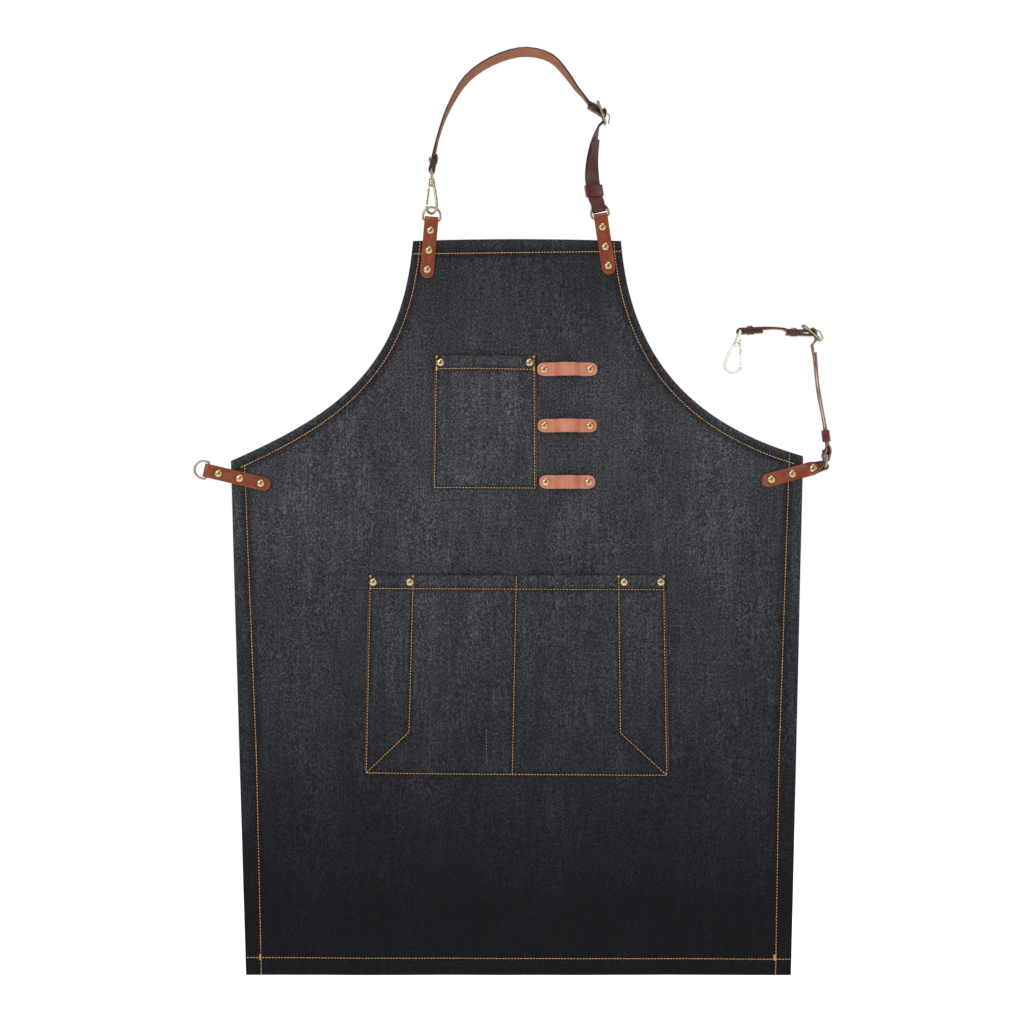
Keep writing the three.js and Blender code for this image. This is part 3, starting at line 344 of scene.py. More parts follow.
@dataclass(frozen=True)
class Denim:
    """Washed near-black denim: diagonal wales, heathered yarns, slubs and worn patches.

    `foot_painted_shade` and `bib_painted_shade` hold two heights in metres and the share of the tone left at
    the darker one:
    painted shade, darker towards the foot and towards the bib's top.
    """

    name: str = "washed_black_denim"
    deep: Colour = (0.0062, 0.0065, 0.0080)
    pale: Colour = (0.165, 0.170, 0.190)
    wale: float = 1.35 * MM
    wale_turn: float = 62.0
    foot_painted_shade: tuple[float, float, float] = (-0.90, -0.47, 0.07)
    bib_painted_shade: tuple[float, float, float] = (-0.37, -0.24, 0.58)
    seam_painted_shade: float = 0.42
    lift: float = 1.0

    def shader(self) -> Shader:
        """The cloth's material."""
        s = Shader(self.name, roughness=0.88)
        bands = 2 * math.pi / 20
        wave = {"Scale": bands / self.wale, "Distortion": 2.2, "Detail": 2, "Detail Scale": 1.6}
        twill = s.node(
            "ShaderNodeTexWave",
            {"wave_type": "BANDS", "bands_direction": "X"},
            {"Vector": s.place((1, 1, 1), (0, self.wale_turn, 0)), **wave},
        )
        twill = Value(s, twill.outputs["Fac"])
        warp = s.cloudy(s.place((700, 700, 420)), 3, 0.7)
        weft = s.cloudy(s.place((420, 420, 900)), 3, 0.65)
        slub = s.cloudy(s.place((360, 360, 22)), 2, 0.5)
        cross = s.cloudy(s.place((20, 20, 320)), 2, 0.5)
        wash = s.cloudy(s.place((16, 16, 5.5)), 5, 0.6)
        cloud = s.cloudy(s.place((80, 80, 24)), 5, 0.65)
        height = s.axes("Object")[2]
        # Painted shade: the tone falls off towards the foot and towards the bib's top.
        start, end, left = self.bib_painted_shade
        shade = height.between(*self.foot_painted_shade, 1.0) * height.between(start, end, 1.0, left)
        worn = wash.between(0.34, 0.68) * 0.55 + cloud.between(0.32, 0.70) * 0.45
        yarn = warp.between(0.48, 0.66) * 0.74 + weft.between(0.48, 0.70) * 0.40 + twill * 0.12
        streak = slub.between(0.46, 0.72) * 0.17 + cross.between(0.52, 0.74) * 0.12
        level = ((yarn + streak) * (worn * 0.60 + 0.34) + 0.05) * shade
        # Painted shade along the seams and round the rims, where raised cloth would shade the denim; the dark
        # line round the rim is partly its overlocked edge.
        seam = s.attribute("seam")
        level = level * seam.between(0.0, 1.0, 1.0, self.seam_painted_shade)
        colour = s.mix((level * self.lift).between(0.0, 1.0), self.deep, self.pale)
        rubbed = (seam * warp.between(0.45, 0.7)) * 0.06
        s.look("Base Color", s.mix(rubbed, colour, self.pale))
        s.look("Specular IOR Level", 0.06)
        s.bump(twill * 0.55 + warp * 0.7 + weft * 0.4, 0.42 * MM, 0.8)
        return s


@dataclass(frozen=True)
class Leather:
    """One side of tanned leather: grain, pores, creases and pull-up mottling."""

    name: str
    light: Colour
    dark: Colour
    roughness: float = 0.4
    coat: float = 0.2
    nap: float = 0.25

    def shader(self) -> Shader:
        """The leather's material."""
        s = Shader(self.name, self.roughness)
        mottle = s.cloudy(s.place((75, 75, 75)), 5, 0.6)
        fibre = s.cloudy(s.place((640, 640, 640)), 3, 0.6)
        crease = s.cloudy(s.place((210, 210, 210)), 6, 0.7)
        pore = s.node("ShaderNodeTexVoronoi", {}, {"Vector": s.place((1900, 1900, 1900)), "Scale": 1.0})
        pore = Value(s, pore.outputs["Distance"])
        tone = mottle.between(0.32, 0.68) * 0.7 + fibre.between(0.35, 0.65) * 0.3
        colour = s.mix(tone.between(0, 1), self.dark, self.light)
        s.look("Base Color", s.mix(pore.between(0.0, 0.35, 0.35, 0.0), colour, self.dark))
        uneven = fibre.between(0.3, 0.7, -0.05, 0.08) + mottle.between(0.3, 0.7, -0.04, 0.06)
        s.look("Roughness", uneven + self.roughness)
        s.look("Specular IOR Level", 0.35)
        s.look("Coat Weight", self.coat)
        s.look("Coat Roughness", 0.25)
        s.bump(crease * 0.5 + pore.between(0, 0.5) * 0.25 + fibre * self.nap, 0.15 * MM, 0.7)
        return s


@dataclass(frozen=True)
class Brass:
    """Cast brass with a dark patina in random patches and fine wear marks."""

    name: str
    bright: Colour
    patina: Colour
    roughness: float = 0.26
    tarnish: float = 0.42
    pitting: float = 0.05 * MM

    def shader(self) -> Shader:
        """The metal's material."""
        s = Shader(self.name, self.roughness)
        age = s.cloudy(s.place((420, 420, 420)), 4, 0.6)
        rub = s.cloudy(s.place((1500, 1500, 420)), 2, 0.6)
        share = age.between(0.34, 0.62, self.tarnish, 0.0)
        s.look("Base Color", s.mix(share, self.bright, self.patina))
        s.look("Roughness", age.between(0.3, 0.7, 0.16, -0.04) + rub * 0.12 + self.roughness)
        s.look("Metallic", 1.0)
        s.bump(age * 0.6 + rub * 0.4, self.pitting, 0.5)
        return s


@dataclass(frozen=True)
class Thread:
    """Waxed golden-tan topstitching thread."""

    name: str = "golden_topstitch"
    light: Colour = (0.70, 0.36, 0.10)
    dark: Colour = (0.32, 0.14, 0.03)

    def shader(self) -> Shader:
        """The thread's material."""
        s = Shader(self.name, 0.55)
        ply = s.cloudy(s.place((1500, 1500, 1500)), 2, 0.5)
        fade = s.cloudy(s.place((24, 24, 24)), 3, 0.5)
        share = ply.between(0.36, 0.64, 0.0, 0.75) + fade.between(0.35, 0.65, -0.15, 0.2)
        s.look("Base Color", s.mix(share.between(0, 1), self.light, self.dark))
        s.look("Sheen Weight", 0.2)
        s.bump(ply, 0.1 * MM, 0.6)
        return s


@dataclass(frozen=True)
class Hide:
    """One leather in four finishes; each pair of colours is its light and its dark tone."""

    name: str
    grain: tuple[Colour, Colour]
    edge: tuple[Colour, Colour]
    flesh: tuple[Colour, Colour]
    roughness: float
    coat: float
    raw: tuple[Colour, Colour] = ((0.30, 0.175, 0.14), (0.17, 0.095, 0.072))

    def shaders(self) -> list[Shader]:
        """The grain side, burnished edge, flesh side and raw cut edge."""
        return [
            Leather(f"{self.name}_leather", *self.grain, self.roughness, self.coat).shader(),
            Leather(f"{self.name}_burnished_edge", *self.edge, self.roughness, self.coat, nap=0.1).shader(),
            Leather(f"{self.name}_flesh_side", *self.flesh, 0.72, 0.0, nap=0.4).shader(),
            Leather(f"{self.name}_raw_edge", *self.raw, 0.6, 0.05, nap=0.6).shader(),
        ]


HIDES = {
    "tab_leather": Hide(
        "chestnut",
        grain=((0.270, 0.056, 0.018), (0.150, 0.027, 0.010)),
        edge=((0.09, 0.024, 0.013), (0.045, 0.011, 0.006)),
        flesh=((0.20, 0.07, 0.035), (0.13, 0.04, 0.02)),
        roughness=0.34,
        coat=0.35,
    ),
    "loop_leather": Hide(
        "tan",
        grain=((0.60, 0.240, 0.150), (0.44, 0.145, 0.085)),
        edge=((0.17, 0.045, 0.022), (0.10, 0.026, 0.014)),
        flesh=((0.42, 0.2, 0.13), (0.3, 0.13, 0.08)),
        roughness=0.45,
        coat=0.08,
    ),
    "strap_leather": Hide(
        "brown",
        grain=((0.088, 0.028, 0.020), (0.044, 0.014, 0.011)),
        edge=((0.048, 0.020, 0.016), (0.026, 0.011, 0.009)),
        flesh=((0.30, 0.115, 0.055), (0.20, 0.070, 0.036)),
        roughness=0.42,
        coat=0.1,
    ),
    "keeper_leather": Hide(
        "oxblood",
        grain=((0.145, 0.020, 0.010), (0.07, 0.010, 0.006)),
        edge=((0.02, 0.006, 0.004), (0.012, 0.004, 0.003)),
        flesh=((0.2, 0.08, 0.05), (0.13, 0.05, 0.03)),
        roughness=0.3,
        coat=0.4,
    ),
}


class Finishes:
    """Every finish of the apron, made once; each leather is listed under its material slot."""

    def __init__(self) -> None:
        """Builds the materials."""
        self.denim = Denim().shader()
        # The pockets wear a lighter copy of the same denim: painted light.
        self.pocket_denim = Denim("pocket_denim", lift=1.1).shader()
        self.thread = Thread().shader()
        self.serging = Thread("serging_thread", (0.30, 0.19, 0.085), (0.10, 0.06, 0.03)).shader()
        self.brass = Brass("antique_brass", (0.66, 0.50, 0.25), (0.10, 0.065, 0.03), 0.2).shader()
        self.aged_brass = Brass("aged_cast_brass", (0.50, 0.43, 0.28), (0.15, 0.12, 0.07), 0.24).shader()
        pale = Brass("pale_antique_brass", (0.90, 0.88, 0.80), (0.78, 0.75, 0.66), 0.5, 0.2, 0.004 * MM)
        self.pale_brass = pale.shader()
        self.leather = {slot: hide.shaders() for slot, hide in HIDES.items()}


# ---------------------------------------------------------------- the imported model
class Model:
    """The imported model: which body and which material slot each of its nodes has."""

    def __init__(self, frame: dict) -> None:
        """Reads bodies, slots and nodes from the loaded frame."""
        record = frame["record"]
        self.nodes = frame["nodes"]
        self.body_of = {node: body for body, nodes in record["behaviour"]["bodies"].items() for node in nodes}
        self.slot_of = {row["node"]: row["material_slot"] for row in record["subparts"]}

    def middle(self, node: str) -> tuple[float, float]:
        """The middle of a node across and down, in millimetres."""
        low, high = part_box(node)
        return (low.x + high.x) / 2 / MM, (low.z + high.z) / 2 / MM

    def named(self, *words: str) -> list[str]:
        """The nodes whose names hold every one of these words."""
        return sorted(n for n in self.nodes if all(w in n for w in words))

    def stand_in(self, piece: bpy.types.Object, node: str) -> None:
        """Puts a finished piece in the place of a node: it rides on its body and the node is hidden."""
        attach(piece, self.body_of[node])
        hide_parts(node)
        LOG.info("%s stands for %s: %d faces", piece.name, node, len(piece.data.polygons))

    def copy(self, node: str, name: str) -> bpy.types.Object:
        """A copy of a node's mesh, its loose triangles merged into one closed skin and left selected."""
        piece = bpy.data.objects.new(name, self.nodes[node].data.copy())
        bpy.context.collection.objects.link(piece)
        piece.data.materials.clear()
        with editing(piece):
            bpy.ops.mesh.remove_doubles(threshold=1e-6)
        return piece


def rounded(piece: bpy.types.Object, grain: float, passes: int) -> None:
    """Rebuilds a faceted solid as an even skin with soft edges.

    Args:
        piece: A closed mesh.
        grain: Size of the new faces, in metres.
        passes: How often the skin is smoothed.
    """
    select_only(piece)
    apply_modifier(piece, "skin", "REMESH", mode="VOXEL", voxel_size=grain)
    apply_modifier(piece, "soften", "SMOOTH", factor=0.5, iterations=passes)
    bpy.ops.object.shade_smooth()


# ---------------------------------------------------------------- thread
class Stitch(Enum):
    """The kinds of stitch: how far each leans off its row in degrees, and its share of full size."""

    TOP = (5.0, 1.0)
    EDGE = (52.0, 0.8)
    TACK = (84.0, 0.95)


@dataclass
class Seam:
    """A row of stitches along a line of points, in millimetres."""

    line: Line
    kind: Stitch = Stitch.TOP
    pitch: float = 3.3


@dataclass
class Sewing:
    """Rows of stitches laid on a node's cloth as one mesh; sizes in millimetres."""

    name: str
    model: Model
    node: str
    finish: Shader
    radius: float = 0.48
    length: float = 3.1
    segments: int = 6
    rings: int = 5
    seed: int = 11
    uneven_turn: float = 0.05
    end_dip: float = 0.42
    flattened: float = 0.8

    def _template(self) -> tuple[np.ndarray, list[tuple[int, ...]]]:
        """One stitch along X, as points in millimetres and faces."""
        bpy.ops.object.select_all(action="DESELECT")
        bpy.ops.mesh.primitive_uv_sphere_add(segments=self.segments, ring_count=self.rings, radius=1.0)
        points, faces = points_and_faces(bpy.context.object)
        points = points[:, [2, 0, 1]]
        points[:, 0] = np.sign(points[:, 0]) * np.abs(points[:, 0]) ** 0.7 * self.length / 2
        points[:, 1:] *= self.radius
        return points, faces

    @staticmethod
    def _places(seam: Seam) -> tuple[np.ndarray, np.ndarray]:
        """Where each stitch of a seam lies and the way it runs."""
        line = np.array(seam.line, float)
        steps = np.hypot(*np.diff(line, axis=0).T)
        along = np.concatenate([[0], np.cumsum(steps)])
        count = max(1, round(along[-1] / seam.pitch))
        at = (np.arange(count) + 0.5) * along[-1] / count

        def point(where: np.ndarray) -> np.ndarray:
            """The places at these lengths along the row."""
            return np.stack([np.interp(where, along, line[:, k]) for k in (0, 1)], axis=1)

        run = point(np.minimum(at + 0.6, along[-1])) - point(np.maximum(at - 0.6, 0))
        return point(at), run / np.linalg.norm(run, axis=1)[:, None]

    def sew(self, seams: Sequence[Seam], sides: Sequence[tuple[Surface, float]]) -> None:
        """Lays every seam on one or both faces of the cloth.

        Args:
            seams: The rows of stitches.
            sides: For each face, its surface and how far off it the thread lies, in millimetres.
        """
        template, faces = self._template()
        random = np.random.default_rng(self.seed)
        points, polygons = [], []
        for surface, proud in sides:
            for seam in seams:
                at, run = self._places(seam)
                slant, scale = seam.kind.value
                turns = math.radians(slant) + random.normal(0, self.uneven_turn, len(at))
                ways = np.stack(
                    [
                        run[:, 0] * np.cos(turns) - run[:, 1] * np.sin(turns),
                        run[:, 0] * np.sin(turns) + run[:, 1] * np.cos(turns),
                    ],
                    axis=1,
                )
                stretch = scale * random.uniform(0.9, 1.06, len(at))
                ends = [at + ways * (sign * self.length / 2 * stretch[:, None]) for sign in (-1, 1)]
                depth = [surface(e[:, 0], e[:, 1]) for e in ends]
                middle = surface(at[:, 0], at[:, 1]) + proud
                for i in range(len(at)):
                    lean = (depth[1][i] - depth[0][i]) / 2
                    local = template * [stretch[i], scale, scale]
                    share = local[:, 0] / (self.length / 2 * stretch[i])
                    x = at[i, 0] + ways[i, 0] * local[:, 0] - ways[i, 1] * local[:, 1]
                    z = at[i, 1] + ways[i, 1] * local[:, 0] + ways[i, 0] * local[:, 1]
                    dip = np.sign(-proud) * self.end_dip * np.abs(share) ** 3
                    y = middle[i] + lean * share + local[:, 2] * self.flattened + dip
                    base = len(template) * len(points)
                    points.append(np.stack([x, y, z], axis=1))
                    polygons.extend(tuple(base + k for k in f) for f in faces)
        piece = new_piece(self.name, np.concatenate(points) * MM, polygons)
        face_outwards(piece)
        bpy.ops.object.shade_smooth()
        self.finish.dress(piece)
        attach(piece, self.model.body_of[self.node])


# ---------------------------------------------------------------- cloth
@dataclass
class Drape:
    """The hang of the cloth: slow folds that die out where leather and rivets hold it flat.

    `folds`, `creases` and `crumple` are how high the waves of three sizes are, in millimetres.
    """

    held: np.ndarray
    near: float = 9.0
    far: float = 60.0
    folds: float = 2.3
    creases: float = 0.9
    crumple: float = 0.34

    def __call__(self, x: np.ndarray, z: np.ndarray) -> np.ndarray:
        """How far back the cloth hangs at each place, in millimetres."""
        flat_x, flat_z = x.ravel(), z.ravel()
        reach = np.full(flat_x.shape, FAR_AWAY)
        for hx, hz in self.held:
            reach = np.minimum(reach, np.hypot(flat_x - hx, flat_z - hz))
        free = smoothstep(self.near, self.far, reach)
        hang = (
            self.folds * ripple(flat_x, flat_z, 105, 330, 3.1)
            + self.creases * ripple(flat_x + flat_z * 0.4, flat_z, 48, 96, 7.7)
            + self.crumple * ripple(flat_x, flat_z, 15, 19, 1.9)
        )
        return (hang * free).reshape(x.shape)


def sheet_mesh(
    name: str, front: np.ndarray, thick: np.ndarray, rim: float, worn: np.ndarray
) -> bpy.types.Object:
    """A closed sheet with a rounded rim, made from a grid of points.

    Args:
        name: The piece's name.
        front: Rows x columns x 3 points of the front, in millimetres.
        thick: How far the back lies behind each of them.
        rim: How far the rim stands out.
        worn: How near each point is to a seam, from 0 to 1, the rim wholly; the denim reads it as rubbed wear
            and as painted shade along the seams and round the rim.

    Returns:
        The sheet.
    """
    back = front + thick[..., None] * [0, 1, 0]
    rows, columns = front.shape[:2]
    count = rows * columns
    loop = (
        [(0, c) for c in range(columns)]
        + [(r, columns - 1) for r in range(1, rows)]
        + [(rows - 1, c) for c in range(columns - 2, -1, -1)]
        + [(r, 0) for r in range(rows - 2, 0, -1)]
    )
    edge_front = np.array([front[r, c] for r, c in loop])
    edge_back = np.array([back[r, c] for r, c in loop])
    run = np.roll(edge_front, -1, axis=0) - np.roll(edge_front, 1, axis=0)
    out = np.stack([-run[:, 2], np.zeros(len(loop)), run[:, 0]], axis=1)
    out /= np.linalg.norm(out, axis=1)[:, None]
    middle = (edge_front + edge_back) / 2 + out * rim
    points = np.concatenate([front.reshape(-1, 3), back.reshape(-1, 3), middle])
    faces = []
    for r in range(rows - 1):
        for c in range(columns - 1):
            a = r * columns + c
            d = a + columns
            faces.append((a, d, d + 1, a + 1))
            faces.append((count + a, count + a + 1, count + d + 1, count + d))
    ring = len(loop)
    for i, (r, c) in enumerate(loop):
        r2, c2 = loop[(i + 1) % ring]
        a, b = r * columns + c, r2 * columns + c2
        m, n = 2 * count + i, 2 * count + (i + 1) % ring
        faces.append((a, b, n, m))
        faces.append((m, n, count + b, count + a))
    piece = new_piece(name, points * MM, faces)
    face_outwards(piece)
    smooth(piece, SOFT_TURN)
    # The seam number drives both the rubbed wear and the painted shade along the seams and round the rim.
    store(piece, "seam", np.concatenate([worn.ravel(), worn.ravel(), np.ones(ring)]))
    return piece


@dataclass
class ApronCloth:
    """The apron's body: a shaped sheet with folded hems all round, sewn with one row of thread.

    Sizes are in millimetres. `groove` is the depth and width of the dent a seam presses in the cloth,
    `pucker` the height, reach and size of the small waves beside it, and `top_rise` how far the bib's top
    edge bows up in its middle.
    """

    model: Model
    finishes: Finishes
    drape: Drape
    thick: float = 1.2
    hem: float = 14.5
    hem_fold: float = 1.1
    groove: tuple[float, float] = (0.42, 1.3)
    pucker: tuple[float, float, float] = (0.38, 8.0, 5.2)
    bib_half: float = 110.0
    top: float = -196.0
    top_rise: float = 2.0
    foot: float = -973.5
    foot_left: float = -287.0
    foot_right: float = 290.0
    arm_left: Line = ((-110, -196), (-121.5, -330), (-188.5, -379), (-303, -429))
    arm_right: Line = ((110, -196), (120, -323), (188, -391), (303, -424))
    top_seam: Line = ((-110.4, -209.4), (-40, -208.6), (40, -207.6), (110.6, -206.8))
    arm_insets: tuple[float, float] = (7.4, 10.2)
    side_left: Line = ((-288.6, -432.5), (-276.0, -746.0), (-271.0, -973.0))
    side_right: Line = ((288.8, -421.5), (277.5, -746.0), (273.9, -973.0))
    foot_seam: Line = ((-287, -955.2), (-120, -955.8), (120, -956.4), (290, -956.7))
    hem_step: float = 2.0
    hem_band: float = 22.0
    fine_step: float = 1.8
    step: float = 3.6
    corner_band: tuple[float, float] = (-395.0, -440.0)
    columns: int = 116

    def edges(self) -> tuple[np.ndarray, np.ndarray]:
        """Both sides of the apron from the bib's top to the hem, as points down each side."""
        sides = []
        for curve, foot in ((self.arm_left, self.foot_left), (self.arm_right, self.foot_right)):
            arm = bezier(curve, 160)
            corner = arm[-1]
            side = np.linspace(corner, (foot, self.foot), 30)[1:]
            sides.append(np.concatenate([arm, side]))
        return sides[0], sides[1]

    def seams(self) -> list[Seam]:
        """The rows of stitches of the hems."""
        rows = [Seam(self.top_seam), Seam(self.side_left), Seam(self.side_right), Seam(self.foot_seam)]
        for curve, sign in ((self.arm_left, 1), (self.arm_right, -1)):
            arm = bezier(curve, 60)
            run = np.gradient(arm, axis=0)
            run /= np.linalg.norm(run, axis=1)[:, None]
            inset = np.linspace(*self.arm_insets, len(arm))[:, None]
            inward = np.stack([-run[:, 1], run[:, 0]], axis=1) * sign
            line = arm + inward * inset
            rows.append(Seam([tuple(p) for p in line[:-1]]))
        for x in (self.side_left[-1][0], self.side_right[-1][0]):
            foot = self.foot_seam[0][1]
            rows.append(Seam([(x - 1.2, foot - 2.6), (x - 1.2, foot + 3.4)], Stitch.TACK, 0.9))
        return rows

    def from_seams(self, x: np.ndarray, z: np.ndarray) -> np.ndarray:
        """How far each place is from the nearest row of the hems."""
        return line_distance(x, z, [s.line for s in self.seams() if s.kind is Stitch.TOP])

    def front(self, x: np.ndarray, z: np.ndarray) -> np.ndarray:
        """The front surface: Y in millimetres at each place."""
        away = self.from_seams(x, z)
        deep, wide = self.groove
        high, reach, size = self.pucker
        groove = deep * np.exp(-((away / wide) ** 2))
        pucker = high * np.exp(-((away / reach) ** 2)) * ripple(x, z, size, size, 4.4)
        return self.drape(x, z) + groove + pucker

    def depth(self, x: np.ndarray, z: np.ndarray) -> np.ndarray:
        """The cloth's thickness, doubled by the hem folded to the back."""
        left, right = self.edges()
        top = [(-self.bib_half, self.top), (self.bib_half, self.top)]
        foot = [(self.foot_left, self.foot), (self.foot_right, self.foot)]
        away = line_distance(x, z, [left[::6], right[::6], top, foot])
        return self.thick + self.hem_fold * (1 - smoothstep(self.hem, self.hem + 1.6, away))

    def back(self, x: np.ndarray, z: np.ndarray) -> np.ndarray:
        """The back surface: Y in millimetres at each place."""
        return self.front(x, z) + self.depth(x, z)

    def rows_down(self) -> np.ndarray:
        """Heights of the grid's lines, closest together at the hems and the corners."""
        hem = self.top - self.hem_band
        high, low = self.corner_band
        parts = [
            np.arange(self.top, hem, -self.hem_step),
            np.arange(hem, high, -self.step),
            np.arange(high, low, -self.fine_step),
            np.arange(low, self.foot + self.hem_band + 2, -self.step),
            np.arange(self.foot + self.hem_band + 1, self.foot, -self.hem_step),
            [self.foot],
        ]
        return np.concatenate(parts)

    def build(self) -> None:
        """Makes the cloth and its thread."""
        left, right = self.edges()
        down = self.rows_down()
        hem = np.arange(0, self.hem_band + 1, self.hem_step)
        middle = np.linspace(0, 1, self.columns + 2)[1:-1]
        rows = []
        for z in down:
            low = np.interp(-z, -left[:, 1], left[:, 0])
            high = np.interp(-z, -right[:, 1], right[:, 0])
            inner = low + hem[-1] + middle * (high - low - 2 * hem[-1])
            rows.append(np.concatenate([low + hem, inner, high - hem[::-1]]))
        x = np.array(rows)
        z = np.repeat(down[:, None], x.shape[1], axis=1)
        rise = self.top_rise * (1 - (x / self.bib_half) ** 2) * smoothstep(self.top - 60, self.top, z)
        z = z + np.where(np.abs(x) < self.bib_half, rise, 0)
        front = np.stack([x, self.front(x, z), z], axis=2)
        # Nearness to the hem rows: rubbed wear and painted shade in the denim.
        worn = 1 - smoothstep(1.5, 9, self.from_seams(x, z))
        piece = sheet_mesh("apron_cloth", front, self.depth(x, z), 0.35, worn)
        self.finishes.denim.dress(piece)
        self.model.stand_in(piece, "apron_body")
        thread = Sewing("apron_hem_stitches", self.model, "apron_body", self.finishes.thread)
        thread.sew(self.seams(), [(self.front, -0.16), (self.back, 0.16)])


@dataclass
class PatchPocket:
    """A patch pocket: a sheet sewn round three sides and along its divisions, open and hemmed on top.

    Sizes are in millimetres. `corners` run from the top left over the foot to the top right, `sewn` are
    the rows that hold the sheet down, `hem_row` the row of the folded top, `tacks` the bar tacks,
    `edge_rows` the overlocked edges and `faint` a quiet row. `puff` is how far the middle stands out,
    `reach` how far from a seam it is reached. `groove`, `pucker` and `slack` are the dent of a seam, the
    small waves beside it and those between seams.
    """

    model: Model
    finishes: Finishes
    cloth: ApronCloth
    node: str
    corners: Line
    sewn: list[Line]
    hem_row: Line
    tacks: list[Line]
    edge_rows: list[Line]
    flat: tuple[float, float]
    puff: float
    faint: Sequence[Line] = ()
    reach: float = 34.0
    lie: float = 0.16
    thick: float = 1.25
    fold: float = 13.5
    step: float = 1.7
    groove: tuple[float, float] = (0.5, 2.4)
    pucker: tuple[float, float, float] = (0.32, 7.0, 4.6)
    slack: float = 0.55
    rivet_hold: tuple[float, float] = (4.5, 22.0)

    def from_seams(self, x: np.ndarray, z: np.ndarray) -> np.ndarray:
        """How far each place is from the nearest row of stitches."""
        return line_distance(x, z, [*self.sewn, self.hem_row])

    def band(self, z: np.ndarray) -> np.ndarray:
        """1 on the folded top, 0 below it."""
        return 1 - smoothstep(self.fold, self.fold + 1.5, self.corners[0][1] - z)

    def front(self, x: np.ndarray, z: np.ndarray) -> np.ndarray:
        """The pocket's front surface: Y in millimetres at each place."""
        held = line_distance(x, z, self.sewn)
        rise = self.puff * smoothstep(1.5, self.reach, held)
        flat = np.ones(x.shape)
        for rx, rz in [self.model.middle(n) for n in self.model.named(self.node, "rivet")]:
            flat = np.minimum(flat, smoothstep(*self.rivet_hold, np.hypot(x - rx, z - rz)))
        rows = self.from_seams(x, z)
        deep, wide = self.groove
        high, near, size = self.pucker
        groove = deep * np.exp(-((rows / wide) ** 2))
        pucker = high * np.exp(-((rows / near) ** 2)) * ripple(x, z, size, size, 9.3)
        slack = self.slack * ripple(x, z, 24, 40, 5.5) * smoothstep(4, 30, held)
        stack = self.lie + self.thick + 0.55 * self.band(z)
        return self.cloth.drape(x, z) - stack - rise * flat + (groove + pucker) * flat + slack * flat

    def depth(self, x: np.ndarray, z: np.ndarray) -> np.ndarray:
        """The sheet's thickness: more at the folded top."""
        return self.thick + 0.5 * self.band(z)

    def _thread(self, name: str, finish: Shader, length: float, radius: float) -> Sewing:
        """Thread of one kind on this pocket."""
        return Sewing(f"{self.node}_{name}", self.model, self.node, finish, radius, length)

    def build(self) -> None:
        """Makes the pocket and its thread."""
        (left_top, top), (left_foot, foot), (right_foot, _), (right_top, _) = self.corners
        rows = round((top - foot) / self.step)
        columns = round((right_foot - left_foot) / self.step)
        v = np.linspace(0, 1, rows)[:, None]
        u = np.linspace(0, 1, columns)[None, :]
        left = left_top + (left_foot - left_top) * v
        right = right_top + (right_foot - right_top) * v
        x = left + (right - left) * u
        z = top + (foot - top) * v + 0 * u
        front = np.stack([x, self.front(x, z), z], axis=2)
        # Nearness to the pocket's rows: rubbed wear and painted shade in the denim.
        worn = 1 - smoothstep(0.5, 5, self.from_seams(x, z))
        piece = sheet_mesh(f"{self.node}_cloth", front, self.depth(x, z), 0.4, worn)
        self.finishes.pocket_denim.dress(piece)
        self.model.stand_in(piece, self.node)
        quiet = [Seam(line, Stitch.EDGE, 1.8) for line in self.edge_rows]
        quiet += [Seam(line, pitch=3.4) for line in self.faint]
        self._thread("serging", self.finishes.serging, 2.5, 0.3).sew(quiet, [(self.front, -0.08)])
        seams = [Seam(line) for line in (*self.sewn, self.hem_row)]
        seams += [Seam(line, Stitch.TACK, 0.8) for line in self.tacks]
        self._thread("stitches", self.finishes.thread, 2.7, 0.46).sew(seams, [(self.front, -0.14)])
        under = [Seam(line, pitch=3.0) for line in self.sewn]
        self._thread("back_stitches", self.finishes.thread, 2.4, 0.34).sew(under, [(self.cloth.back, 0.12)])


def chest_pocket(model: Model, finishes: Finishes, cloth: ApronCloth) -> PatchPocket:
    """The phone pocket on the chest."""
    left, right = -85.2, 17.9
    top = -318.4
    return PatchPocket(
        model,
        finishes,
        cloth,
        "chest_pocket",
        corners=((-88.2, -317.6), (-89.3, -458.6), (21.3, -458.6), (20.2, -317.6)),
        sewn=[[(left, -317.8), (left - 2.2, -457.0), (right + 0.9, -457.6), (right, -317.8)]],
        hem_row=[(left - 1, -331.2), (-34, -331.0), (right + 1, -332.0)],
        tacks=[
            [(left - 1.2, top), (left + 1.4, top)],
            [(right - 1.4, top), (right + 1.2, top)],
            [(left, -329.0), (left, -333.5)],
            [(right, -329.4), (right, -334)],
        ],
        edge_rows=[[(left - 1.9, -334), (left - 3.6, -456)], [(right + 1.9, -334), (right + 2.6, -456)]],
        flat=(0.132, 0.168),
        puff=2.6,
    )


